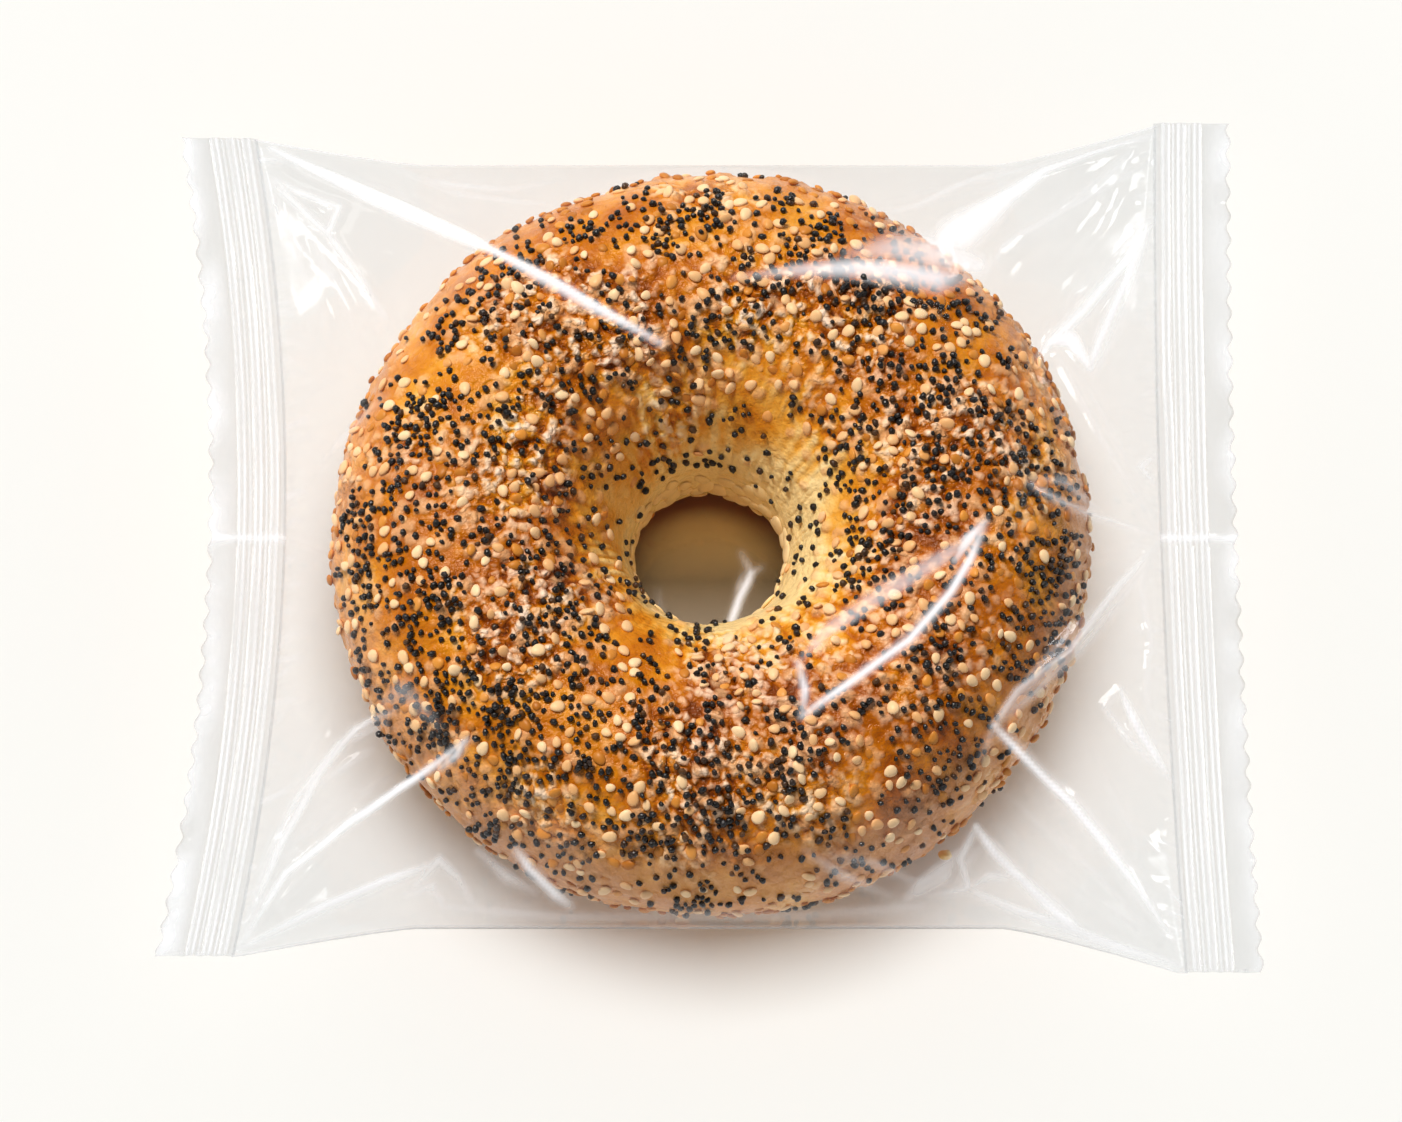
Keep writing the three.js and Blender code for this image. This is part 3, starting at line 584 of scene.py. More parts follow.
def makeSeal(name, seal, material, seed):
    # one crimped end: ribbed band, then a soft margin with a scalloped edge
    v = sealValues
    rng = np.random.default_rng(seed)
    bm = bmesh.new()
    bmesh.ops.create_grid(bm, x_segments=v["columns"], y_segments=v["rows"], size=1)
    column, row = gridPlaces(bm, v["columns"], v["rows"])
    across = row / v["rows"] * 2 - 1
    y = across * (seal["halfWidth"] - 0.1)
    out = column / v["columns"] * (v["overlap"] + v["bandWidth"] + v["marginWidth"]) - v["overlap"]
    inMargin = np.clip((out - v["bandWidth"]) / v["marginWidth"], 0, 1)
    scallop = v["scallopDepth"] * (0.5 + 0.5 * np.cos(2 * math.pi * y / v["scallopPitch"] + 1.3 * seal["side"]))
    out = out - inMargin * scallop

    turn = np.clip(out / v["bandWidth"], 0, 1) * v["ridgeCount"]
    inBand = smoothStep(0, 0.5, out) * (1 - smoothStep(v["bandWidth"] - 0.2, v["bandWidth"] + 0.5, out))
    ridge = np.abs(np.sin(math.pi * turn)) ** v["ridgeSharp"]
    drift = np.array([noise.noise((a / 20, b * 0.7, seed)) for a, b in zip(y.tolist(), np.floor(turn).tolist())])
    fine = np.sin(2 * math.pi * np.clip(out / v["bandWidth"], 0, 1) * v["fineCount"] + drift)
    pinch = np.exp(-((y - v["finPlace"]) / v["finWidth"]) ** 2)
    height = (v["ridgeHeight"] * (1 + 0.6 * drift) * ridge + v["fineHeight"] * fine) * inBand * (1 - 0.8 * pinch)
    height = height + v["finHeight"] * pinch * smoothStep(-0.5, 0.5, out)
    spots = zip((y / v["flutterSize"]).tolist(), (out / 5).tolist())
    cloud = np.array([noise.noise((a, b, seed + 7)) for a, b in spots])
    height = height + v["flutterHeight"] * 2 * cloud * inMargin ** 0.8
    wave = np.array([noise.noise((a / v["waveSize"], seed, 3)) for a in y.tolist()])
    height = height + v["waveHeight"] * 2 * wave * smoothStep(0, v["bandWidth"], out)
    for place in rng.uniform(-0.9, 0.9, 5) * seal["halfWidth"]:   # short creases across the margin
        height = height + 0.3 * np.clip(1 - np.abs(y - place - 0.3 * inMargin) / 0.7, 0, 1) * inMargin

    x = sealLine(seal, across) + seal["side"] * out
    setPlaces(bm, np.stack([x, y, bagShape["seamHeight"] + height], axis=1) * mm)
    bm.normal_update()
    if seal["side"] < 0:
        bmesh.ops.reverse_faces(bm, faces=bm.faces)
    # painted highlight and shade: the crimp lines are whitened on their crests and greyed in their troughs, and the
    # rim is greyed
    strength = inBand * np.clip(0.7 + 0.8 * drift, 0, 1)
    whiteAndHighlightHere = 0.03 + 0.1 * ridge ** 4 * inBand + 0.45 * np.clip(fine, 0, 1) ** 3 * strength + 0.25 * pinch
    whiteAndHighlightHere = whiteAndHighlightHere + inMargin * seal["marginMilk"] * np.clip(0.5 + cloud, 0, 1)
    rim = smoothStep(0.88, 0.98, inMargin)
    greyAndShadeHere = v["dull"] + v["troughShade"] * np.clip(-fine, 0, 1) ** 2 * strength + v["rimShade"] * rim
    bmesh.ops.solidify(bm, geom=bm.faces[:], thickness=-v["thickness"] * mm)
    mesh = meshFrom(bm)
    layers = np.arange(len(mesh.vertices)) % len(whiteAndHighlightHere)
    addLayer(mesh, "whitenedAndHighlit", whiteAndHighlightHere[layers])
    addLayer(mesh, "dullAndShade", greyAndShadeHere[layers])
    return addPiece(name, mesh, material)


def filmMaterial():
    # clear cast polypropylene: thin and glassy, with folds that have turned milky where they were sharp; the same
    # milky white also carries painted highlights and sheen
    material, tree = emptyMaterial("Polypropylene film, clear gloss")
    facing = addNode(tree, "ShaderNodeLayerWeight", Blend=0.5)
    fifth = addNode(tree, "ShaderNodeMath", {"operation": "POWER"}, _0=facing.outputs["Facing"], _1=5.0)
    glint = addNode(tree, "ShaderNodeMapRange", Value=fifth.outputs[0])
    glint.inputs["To Min"].default_value = 0.05   # a thin film mirrors little when seen square on
    cling = addNode(tree, "ShaderNodeAttribute", {"attribute_name": "cling"})
    loose = addNode(tree, "ShaderNodeMath", {"operation": "MULTIPLY_ADD"}, _0=cling.outputs["Fac"], _1=-0.92, _2=1.0)
    shine = addNode(tree, "ShaderNodeMath", {"operation": "MULTIPLY"}, _0=glint.outputs[0], _1=loose.outputs[0])
    dullAndShade = addNode(tree, "ShaderNodeAttribute", {"attribute_name": "dullAndShade"}).outputs["Fac"]
    # seals are a little duller than one layer, with painted shade in their crimp troughs and along their rim; in the
    # hole the lower film is darkened and tinted amber as painted shade, most on the far side
    tint = colourRamp(tree, dullAndShade, ((0.0, "#F8F9FA"), (0.5, "#B3A189"), (0.75, "#866A44"), (1.0, "#C59751")))
    clear = addNode(tree, "ShaderNodeBsdfTransparent", Color=tint)
    gloss = addNode(tree, "ShaderNodeBsdfGlossy", Roughness=0.08)
    glassy = addNode(tree, "ShaderNodeMixShader", _0=shine.outputs[0], _1=clear.outputs[0], _2=gloss.outputs[0])
    whitenedAndHighlit = addNode(tree, "ShaderNodeAttribute", {"attribute_name": "whitenedAndHighlit"})
    white = addNode(tree, "ShaderNodeBsdfDiffuse", Color=linearFrom("#FBFBFD"))
    through = addNode(tree, "ShaderNodeBsdfTranslucent", Color=linearFrom("#FBFBFD"))
    frostAndHighlight = addNode(tree, "ShaderNodeMixShader", _0=0.15, _1=white.outputs[0], _2=through.outputs[0])
    mixed = addNode(tree, "ShaderNodeMixShader", _0=whitenedAndHighlit.outputs["Fac"], _1=glassy.outputs[0], _2=frostAndHighlight.outputs[0])
    addNode(tree, "ShaderNodeOutputMaterial", Surface=mixed.outputs[0])
    return material


crustValues = {
    "turns": 560, "sectionPoints": 172,
    "crownRadius": 35, "crownHeight": 36.5, "outerRadius": 55, "outerHeight": 18,
    "neckRadius": 10.9, "neckHeight": 8.5, "footInner": 22, "footOuter": 43, "footHeight": 0.75,
    "footSpacing": 3.4, "flankSpacing": 1.8,   # how much further apart points lie on the foot and low flank
    "lumpSize": 30, "lumpDepth": 0.5,
    "dimpleSize": 7, "dimpleDepth": 0.45,
    "crinkleSize": 2.6, "crinkleDepth": 1.3,
    "ridgeSize": 2.6, "ridgeDepth": 0.25,  # wrinkles that run down into the hole
    "widestDip": 6,                        # mm, how far the ring's widest line dips towards the near side
    "keySideTurn": -35, "keySideReach": 2.8,     # degrees, where the pale skin of the hole comes up furthest, and mm; that is the wall facing the key lamp, so it is painted light
    "patchSize": 13,
    "glazedSeeds": 800, "glazedRadius": (0.8, 1.15), "glazedHeight": (0.2, 0.5),   # seeds baked into the skin
    "seed": 5,
}


def sectionPoint(turn):
    # the ring's cross-section in five stretches: outer shoulder, funnel into the hole, undercut, foot, flank
    c = crustValues
    stretch, share = int(turn) % 5, turn % 1
    a = share * math.pi / 2
    if stretch == 0:
        reach, rise = c["outerRadius"] - c["crownRadius"], c["crownHeight"] - c["outerHeight"]
        return c["crownRadius"] + reach * math.cos(a), c["outerHeight"] + rise * math.sin(a)
    if stretch == 1:
        reach, rise = c["crownRadius"] - c["neckRadius"], c["crownHeight"] - c["neckHeight"]
        return c["crownRadius"] - reach * math.sin(a), c["neckHeight"] + rise * math.cos(a)
    if stretch == 2:
        reach, rise = c["footInner"] - c["neckRadius"], c["neckHeight"] - c["footHeight"]
        return c["footInner"] - reach * math.cos(a), c["neckHeight"] - rise * math.sin(a)
    if stretch == 3:
        return c["footInner"] + (c["footOuter"] - c["footInner"]) * share, c["footHeight"]
    reach, rise = c["outerRadius"] - c["footOuter"], c["outerHeight"] - c["footHeight"]
    return c["footOuter"] + reach * math.sin(a), c["outerHeight"] - rise * math.cos(a)


def evenSection(count):
    # points at even spacing round the section, further apart where they are hardly seen
    fine = [sectionPoint(i / 200) for i in range(1000)]
    lengths = [0.0]
    for (r0, z0), (r1, z1) in zip(fine, fine[1:] + fine[:1]):
        spacing = crustValues["footSpacing"] if z0 < 3 else crustValues["flankSpacing"] if z0 < 14 else 1
        lengths.append(lengths[-1] + math.hypot(r1 - r0, z1 - z0) / spacing)
    radii, rises = np.array(fine + fine[:1]).T
    at = np.arange(count) / count * lengths[-1]
    return np.interp(at, lengths, radii), np.interp(at, lengths, rises)


def noiseField(places, size):
    return np.array([noise.noise(Vector(p) / size) for p in places.tolist()])


def billow(places, size):
    # rounded swells with narrow valleys between them: 0 in a valley, about 1 on a swell
    return np.minimum(1, np.abs(noiseField(places, size)) * 2.6)


def glazedBumps(places, normals, odds, rng):
    # low oval bumps where seeds were baked into the skin: the share of full height at each place, and the lift
    c = crustValues
    profile, lift = np.zeros(len(places)), np.zeros(len(places))
    for index in rng.choice(len(odds), size=c["glazedSeeds"], p=odds / odds.sum()):
        along = np.cross(normals[index], rng.normal(0, 1, 3))
        along = along / np.linalg.norm(along)
        offset = places - places[index]
        reach = rng.uniform(*c["glazedRadius"])
        squared = np.sum(offset ** 2, axis=1) - 0.4 * (offset @ along) ** 2
        here = smoothStep(1.0, 0.55, np.sqrt(squared) / reach)
        profile = np.maximum(profile, here)
        lift = np.maximum(lift, here * rng.uniform(*c["glazedHeight"]))
    return profile, lift


def makeCrust(material):
    c = crustValues
    rng = np.random.default_rng(c["seed"])
    bm = bmesh.new()
    bmesh.ops.create_circle(bm, segments=c["sectionPoints"], radius=1)
    radii, rises = evenSection(c["sectionPoints"])
    setPlaces(bm, np.stack([radii, np.zeros(len(radii)), rises], axis=1))
    bmesh.ops.spin(bm, geom=bm.edges[:] + bm.verts[:], cent=(0, 0, 0), axis=(0, 0, 1),
                   angle=2 * math.pi, steps=c["turns"], use_merge=True)
    bmesh.ops.recalc_face_normals(bm, faces=bm.faces)
    bm.normal_update()
    places = np.array([vert.co[:] for vert in bm.verts])
    normals = np.array([vert.normal[:] for vert in bm.verts])
    radius = np.hypot(places[:, 0], places[:, 1])
    height = places[:, 2]
    azimuth = np.arctan2(places[:, 1], places[:, 0])

    lumps = noiseField(places, c["lumpSize"])
    dimples = noiseField(places + 40, c["dimpleSize"])
    patches = noiseField(places + 90, c["patchSize"])
    # the skin crinkled as it dried: most round the crown and in patches, not in the hole
    onCrown = np.exp(-((radius - c["crownRadius"] + 2) / 12) ** 2) * smoothStep(20, 32, height)
    crinkled = np.clip(onCrown * 1.1 + patches * 1.4 - 0.08, 0, 1) * smoothStep(8, 24, height)
    crinkled = crinkled * (1 - 0.55 * np.exp(-((np.degrees(azimuth) + 42) / 38) ** 2))
    warp = np.array([noise.noise_vector(Vector(p) / 5) for p in places.tolist()]) * 1.6
    folds = 0.65 * billow(places + warp, c["crinkleSize"]) + 0.35 * billow(places + 30, c["crinkleSize"] * 0.6)
    lift = lumps * c["lumpDepth"] - 0.15 + dimples * c["dimpleDepth"] + crinkled * (folds - 0.5) * c["crinkleDepth"]
    onSlope = smoothStep(34, 28, radius) * smoothStep(13, 22, height) * smoothStep(-0.2, 0.4, patches + 0.3)
    spokes = np.stack([np.cos(azimuth) * 30, np.sin(azimuth) * 30, radius / 4], axis=1)
    ridges = billow(spokes + warp * 0.4, c["ridgeSize"]) - 0.5
    lift = lift + ridges * onSlope * c["ridgeDepth"]
    room = np.exp(1.2 * noiseField(places + 70, 11)) * smoothStep(4, 16, height) * smoothStep(12, 18, radius)
    spread = radius * (0.3 + smoothStep(3, 14, height))   # rows of the mesh lie closer together near the hole
    glazed, bumps = glazedBumps(places, normals, room * spread, rng)
    lift = lift + bumps
    places = places + normals * (lift * smoothStep(1.5, 4, height))[:, None]
    outward = np.clip((radius - c["crownRadius"]) / (c["outerRadius"] - c["crownRadius"]), 0, 1)
    grow = 1 + ringSwell(places[:, 0], places[:, 1]) * outward / np.maximum(radius, 1)
    places[:, :2] = places[:, :2] * grow[:, None]
    setPlaces(bm, places * mm)

    mesh = meshFrom(bm)
    # how far each place is baked: pale in the hole, golden on the inner slope, brown on crown and shoulder; the pale
    # skin of the hole reaches higher on the wall that faces the key lamp, which is painted light
    towardKey = c["keySideReach"] * np.cos(azimuth - math.radians(c["keySideTurn"]))
    inHole = smoothStep(c["crownRadius"] - 8 + towardKey, c["neckRadius"] + 1 + towardKey, radius)
    lowInside = inHole * smoothStep(29 + 2 * towardKey, 17 + 2 * towardKey, height)
    bakeAndLight = 0.57 - 0.3 * inHole - 0.44 * lowInside + 0.22 * lumps + 0.2 * dimples - 0.16 * patches
    bakeAndLight = bakeAndLight - 0.3 * ridges * onSlope
    flankTanAndLight = smoothStep(45, 53, radius) * smoothStep(34, 25, height)   # duller and tan where the side turns down, partly the skin's colour and partly painted fill light on the sides
    bakeAndLight = bakeAndLight + 0.1 * np.exp(-((np.degrees(azimuth) + 42) / 45) ** 2)
    bakeAndLight = bakeAndLight - 0.2 * smoothStep(14, 2, height) * smoothStep(20, 40, radius)
    addLayer(mesh, "bakeAndLight", bakeAndLight)
    addLayer(mesh, "crinkled", crinkled)
    addLayer(mesh, "folds", folds)
    # the glazed layer also carries the flank's paler tan, which is partly painted fill light
    addLayer(mesh, "glazed", np.maximum(glazed, 0.75 * flankTanAndLight))
    return addPiece("bagelCrust", mesh, material)


def crustMaterial():
    # boiled and baked crust: amber half-gloss skin, paler, pinker and duller where it has crinkled; the crinkles'
    # tops are paler as painted highlight and their valleys darker as painted shade, both partly the skin's own colour
    material, tree = emptyMaterial("Baked bagel crust, half gloss")
    bakeAndLight = addNode(tree, "ShaderNodeAttribute", {"attribute_name": "bakeAndLight"}).outputs["Fac"]
    crinkled = addNode(tree, "ShaderNodeAttribute", {"attribute_name": "crinkled"}).outputs["Fac"]
    folds = addNode(tree, "ShaderNodeAttribute", {"attribute_name": "folds"}).outputs["Fac"]
    glazed = addNode(tree, "ShaderNodeAttribute", {"attribute_name": "glazed"}).outputs["Fac"]
    # granules with narrow valleys between them, about 1.5 mm across and pulled out of round
    place = addNode(tree, "ShaderNodeTexCoord").outputs["Object"]
    sway = addNode(tree, "ShaderNodeTexNoise", Vector=place, Scale=1 / (2.6 * mm)).outputs["Color"]
    pull = addNode(tree, "ShaderNodeVectorMath", {"operation": "SCALE"}, _0=sway)
    pull.inputs["Scale"].default_value = 1.5 * mm
    pulled = addNode(tree, "ShaderNodeVectorMath", {"operation": "ADD"}, _0=place, _1=pull.outputs[0])
    cells = addNode(tree, "ShaderNodeTexVoronoi", {"feature": "SMOOTH_F1"}, Vector=pulled.outputs[0],
                    Scale=1 / (1.6 * mm), Smoothness=0.4)
    squared = mathNode(tree, "POWER", cells.outputs["Distance"], 2.0)
    granule = mathNode(tree, "SUBTRACT", 1.0, mathNode(tree, "MULTIPLY", squared, 2.4), clamp=True)
    centred = mathNode(tree, "ABSOLUTE", mathNode(tree, "SUBTRACT", objectNoise(tree, 1.5, 1.5, 0.5), 0.5))
    wrinkle = mathNode(tree, "MULTIPLY", centred, 5.5, clamp=True)
    fine = mathNode(tree, "ADD", mathNode(tree, "MULTIPLY", granule, 0.7), mathNode(tree, "MULTIPLY", wrinkle, 0.3))
    swell = mathNode(tree, "ADD", mathNode(tree, "MULTIPLY", folds, 0.5), mathNode(tree, "MULTIPLY", fine, 0.6))
    # painted shade: crinkle valleys are darker, partly deeper browning and partly shade
    valleyBrownAndShade = mathNode(tree, "MULTIPLY", mathNode(tree, "SUBTRACT", 0.62, swell), crinkled)
    blotch = mathNode(tree, "MULTIPLY", mathNode(tree, "SUBTRACT", objectNoise(tree, 3.2, 4.0, 0.6), 0.5), 0.6)
    shade = mathNode(tree, "ADD", mathNode(tree, "ADD", bakeAndLight, blotch), mathNode(tree, "MULTIPLY", valleyBrownAndShade, 1.05))
    skin = colourRamp(tree, shade, (
        (0.02, "#FFE2A2"), (0.2, "#F9C973"), (0.38, "#EBA538"), (0.54, "#D8850F"), (0.7, "#C06902"),
        (0.86, "#A04E00"), (1.0, "#763200")))
    # crinkle tops paler and pinker: partly the dried skin's colour, partly painted highlight
    topsPaleAndLit = mathNode(tree, "MULTIPLY", mathNode(tree, "SUBTRACT", swell, 0.47), 2.8, clamp=True)
    dryAndHighlit = mixColour(tree, mathNode(tree, "MULTIPLY", crinkled, topsPaleAndLit), skin, "#FFE0C6")
    tinted = mixColour(tree, mathNode(tree, "MULTIPLY", glazed, 0.55), dryAndHighlit, "#F0BA86")
    gloss = addNode(tree, "ShaderNodeMapRange", Value=crinkled)
    gloss.inputs["To Min"].default_value = 0.27
    gloss.inputs["To Max"].default_value = 0.22
    foldDepth = mathNode(tree, "MULTIPLY", fine, mathNode(tree, "MAXIMUM", crinkled, 0.25))
    foldBump = addNode(tree, "ShaderNodeBump", Height=foldDepth, Strength=1.0, Distance=0.0008)
    grain = objectNoise(tree, 0.4, 2.0, 0.6)
    bump = addNode(tree, "ShaderNodeBump", Height=grain, Strength=0.6, Distance=0.00026, Normal=foldBump.outputs[0])
    shader = addNode(tree, "ShaderNodeBsdfPrincipled", Base__Color=tinted, Roughness=gloss.outputs[0],
                     Normal=bump.outputs[0])
    shader.inputs["IOR"].default_value = 1.45
    shader.inputs["Specular Tint"].default_value = linearFrom("#FFE2CA")   # the glaze warms what it mirrors
    addNode(tree, "ShaderNodeOutputMaterial", Surface=shader.outputs[0])
    return material


poppyValues = {
    "clumps": 2450, "extra": 2.3, "spread": 0.68, "most": 5500, "gap": 0.9, "piled": 0.08,
    "length": 1.36, "width": 1.06, "depth": 1.0, "sizes": (0.6, 1.08), "seed": 21,
}
sesameValues = {
    "pale": 640, "toasted": 300, "atNeck": 90, "onEdge": 170, "gap": 1.6,
    "length": 2.1, "width": 1.64, "depth": 0.8, "sizes": (0.72, 1.12), "seed": 33,
    "neckSpread": 1.7,   # the ones stuck round the neck are swollen flat, this much wider than the rest
}


def seedShape(values, segments, rings, bend, taper):
    # a sphere drawn out to the seed's size, bent like a kidney or slimmer at one end like a drop
    bm = bmesh.new()
    bmesh.ops.create_uvsphere(bm, u_segments=segments, v_segments=rings, radius=0.5)
    for vert in bm.verts:
        x, y, z = vert.co
        y = y * (1 - taper * x) + bend * (x * x - 0.1)
        vert.co = (x * values["length"], y * values["width"], z * values["depth"])
    places = np.array([vert.co[:] for vert in bm.verts])
    faces = np.array([[vert.index for vert in face.verts] + [-1] * (4 - len(face.verts)) for face in bm.faces])
    bm.free()
    return places, faces


def crustFaces(crust):
    mesh = crust.data
    count = len(mesh.polygons)
    centres, normals, areas = np.zeros(count * 3), np.zeros(count * 3), np.zeros(count)
    mesh.polygons.foreach_get("center", centres)
    mesh.polygons.foreach_get("normal", normals)
    mesh.polygons.foreach_get("area", areas)
    return centres.reshape(-1, 3) / mm, normals.reshape(-1, 3), areas


def aboveWidest(centres):
    # mm above the ring's widest line
    dip = crustValues["widestDip"] * centres[:, 1] / crustValues["outerRadius"]
    return centres[:, 2] - crustValues["outerHeight"] - dip


def takePlace(crowd, place, gap):
    # crowd keeps the places taken so far in 2 mm cells; a new one has to clear its neighbours
    x, y, z = place.tolist()
    cx, cy, cz = int(x // 2), int(y // 2), int(z // 2)
    for dx in (-1, 0, 1):
        for dy in (-1, 0, 1):
            for dz in (-1, 0, 1):
                for ox, oy, oz, reach in crowd.get((cx + dx, cy + dy, cz + dz), ()):
                    if (x - ox) ** 2 + (y - oy) ** 2 + (z - oz) ** 2 < ((gap + reach) / 2) ** 2:
                        return False
    crowd.setdefault((cx, cy, cz), []).append((x, y, z, gap))
    return True


def scatterMesh(name, shape, spots, values, rng, lean):
    # one mesh of all the seeds of a kind; a spot is (place, normal, how proud it stands, tone, spread)
    places, faces = shape
    allPlaces = []
    for place, normal, proud, _, spread in spots:
        up = Vector(normal) + Vector(rng.normal(0, lean, 3))
        turn = up.normalized().to_track_quat("Z", "Y").to_matrix()
        turn = turn @ Matrix.Rotation(rng.uniform(0, 2 * math.pi), 3, "Z")
        size = rng.uniform(*values["sizes"])
        stretch = np.array([spread * rng.uniform(0.9, 1.1), spread * rng.uniform(0.92, 1.08), 1]) * size
        allPlaces.append((places * stretch) @ np.array(turn).T + place + np.array(normal) * proud)
    count = len(spots)
    starts = np.arange(count)[:, None, None] * len(places)
    allFaces = np.where(faces[None] < 0, -1, faces[None] + starts).reshape(-1, 4).tolist()
    mesh = bpy.data.meshes.new(name)
    mesh.from_pydata((np.concatenate(allPlaces) * mm).tolist(), [], [[i for i in f if i >= 0] for f in allFaces])
    addLayer(mesh, "tone", np.repeat([spot[3] for spot in spots], len(places)))
    return mesh


def makeSesame(faces, crowd, material):
    v = sesameValues
    rng = np.random.default_rng(v["seed"])
    centres, normals, areas = faces
    radius = np.hypot(centres[:, 0], centres[:, 1])
    height = centres[:, 2]
    patch = np.exp(1.6 * noiseField(centres + 17, 8))
    under = smoothStep(1.5, 3, height) * (0.12 + 0.88 * smoothStep(2, 12, height))
    inHole = smoothStep(23, 14, radius)
    neck = np.exp(-((height - 10.5) / 2.2) ** 2) * (radius < 13.5)
    onEdge = np.exp(-(aboveWidest(centres) / 4) ** 2) * (radius > 48)   # these show as beads along the outline
    plans = (   # how many, where, how pale, how proud, how flat
        (v["atNeck"], neck, (0.0, 0.05), (-0.1, 0.15), v["neckSpread"]),
        (v["onEdge"], onEdge, (0.75, 1.0), (0.1, 0.4), 0.85),
        (v["pale"], patch * under * (1 - 0.8 * inHole), (0.12, 0.5), (0.08, 0.34), 1),
        (v["toasted"], patch * under * (1 - 0.9 * inHole), (0.6, 1.0), (-0.16, 0.1), 1),
    )
    spots = []
    for count, density, tones, prouds, spread in plans:
        odds = areas * density
        taken = 0
        for index in rng.choice(len(odds), size=count * 8, p=odds / odds.sum()):
            if taken < count and takePlace(crowd, centres[index], v["gap"]):
                proud, tone = rng.uniform(*prouds), rng.uniform(*tones)
                spots.append((centres[index], normals[index], proud, tone, spread))
                taken += 1
    mesh = scatterMesh("sesame", seedShape(v, 12, 7, 0, 0.4), spots, v, rng, 0.1)
    print("sesame seeds", len(spots))
    return addPiece("sesameSeeds", mesh, material)


def makePoppy(faces, crowd, material):
    v = poppyValues
    rng = np.random.default_rng(v["seed"])
    centres, normals, areas = faces
    radius = np.hypot(centres[:, 0], centres[:, 1])
    height = centres[:, 2]
    azimuth = np.degrees(np.arctan2(centres[:, 1], centres[:, 0]))
    inHole = smoothStep(24, 14, radius)
    patch = np.exp(2.2 * noiseField(centres + 48, 7) + 1.2 * noiseField(centres + 7, 17))
    density = patch * (1 - inHole) + (1.2 + 0.7 * np.sin(np.radians(azimuth))) * inHole * smoothStep(12, 18, height)
    density = density * (0.8 + 1.7 * np.exp(-((radius - 46) / 6) ** 2) * smoothStep(20, 26, height))
    density = density * (1 - 0.3 * np.exp(-((azimuth + 45) / 30) ** 2) * smoothStep(36, 44, radius))
    offEdge = 0.05 + 0.95 * smoothStep(4, 12, aboveWidest(centres))  # few hold on where the side turns under
    density = density * np.where(radius > 30, offEdge, 1) * smoothStep(1.5, 3, height)
    tree = kdtree.KDTree(len(centres))
    for i, centre in enumerate(centres.tolist()):
        tree.insert(centre, i)
    tree.balance()
    odds = areas * density
    spots = []
    for middle in rng.choice(len(odds), size=v["clumps"], p=odds / odds.sum()):
        # a round clump: most are one to three seeds, a few are a dozen or more
        members = 1 + int(rng.exponential(v["extra"]) * (1 - 0.95 * inHole[middle]))
        reach = v["spread"] * math.sqrt(members - 1)
        for _ in range(members):
            offset = rng.normal(0, 1, 3) * reach
            offset = offset - normals[middle] * (offset @ normals[middle])
            index = tree.find((centres[middle] + offset).tolist())[1]
            proud = rng.uniform(0.1, 0.42)
            if not takePlace(crowd, centres[index], v["gap"]):
                if rng.uniform() > v["piled"]:
                    continue
                proud = rng.uniform(0.6, 0.85)  # lies on the seeds below it
            if len(spots) < v["most"]:
                spots.append((centres[index], normals[index], proud, rng.uniform(0, 1), 1))
    mesh = scatterMesh("poppy", seedShape(v, 6, 4, 0.5, 0), spots, v, rng, 0.35)
    print("poppy seeds", len(spots))
    return addPiece("poppySeeds", mesh, material)


def poppyMaterial():
    # whole poppy seed: slate black with a netted coat, so each shows a small broken glint
    material, tree = emptyMaterial("Poppy seed, blue-black")
    tone = addNode(tree, "ShaderNodeAttribute", {"attribute_name": "tone"}).outputs["Fac"]
    skin = colourRamp(tree, tone, (
        (0.0, "#0E0B0A"), (0.5, "#181310"), (0.7, "#1C1C20"), (0.85, "#2E1D12"), (1.0, "#573616")))
    net = objectNoise(tree, 0.3, 1.0)
    bump = addNode(tree, "ShaderNodeBump", Height=net, Strength=0.7, Distance=0.00012)
    shader = addNode(tree, "ShaderNodeBsdfPrincipled", Base__Color=skin, Roughness=0.3, Normal=bump.outputs[0])
    shader.inputs["IOR"].default_value = 1.5
    addNode(tree, "ShaderNodeOutputMaterial", Surface=shader.outputs[0])
    return material


def sesameMaterial():
    # hulled sesame: waxy cream, steamed yellow in the hole and toasted to tan on some seeds
    material, tree = emptyMaterial("Hulled sesame seed, waxy cream")
    tone = addNode(tree, "ShaderNodeAttribute", {"attribute_name": "tone"}).outputs["Fac"]
    skin = colourRamp(tree, tone, (
        (0.0, "#FFE2A8"), (0.12, "#FCDAAC"), (0.32, "#F4C793"), (0.5, "#EBAF72"), (0.7, "#DE923A"),
        (1.0, "#B4691C")))
    grain = objectNoise(tree, 0.7, 2.0)
    bump = addNode(tree, "ShaderNodeBump", Height=grain, Strength=0.2, Distance=0.0001)
    shader = addNode(tree, "ShaderNodeBsdfPrincipled", Base__Color=skin, Roughness=0.4, Normal=bump.outputs[0])
    shader.inputs["Specular Tint"].default_value = linearFrom("#FFE8CC")
    addNode(tree, "ShaderNodeOutputMaterial", Surface=shader.outputs[0])
    return material


crumbValues = {"place": (34, -45.4, 11.4), "length": 2.0, "width": 1.4, "depth": 1.0, "rough": 0.35, "size": 0.9}


def makeCrumb(material):
    # a flake of crust that has come off and lies in the bag beside the ring
    v = crumbValues
    bm = bmesh.new()
    bmesh.ops.create_icosphere(bm, subdivisions=3, radius=0.5)
    places = np.array([vert.co[:] for vert in bm.verts])
    places = places * (1 + v["rough"] * noiseField(places * v["length"], v["size"]))[:, None]
    setPlaces(bm, (places * (v["length"], v["width"], v["depth"]) + v["place"]) * mm)
    mesh = meshFrom(bm)
    for name, value in (("bakeAndLight", 0.05), ("crinkled", 0.3), ("folds", 0.5)):
        addLayer(mesh, name, np.full(len(places), value))
    return addPiece("crumb", mesh, material)


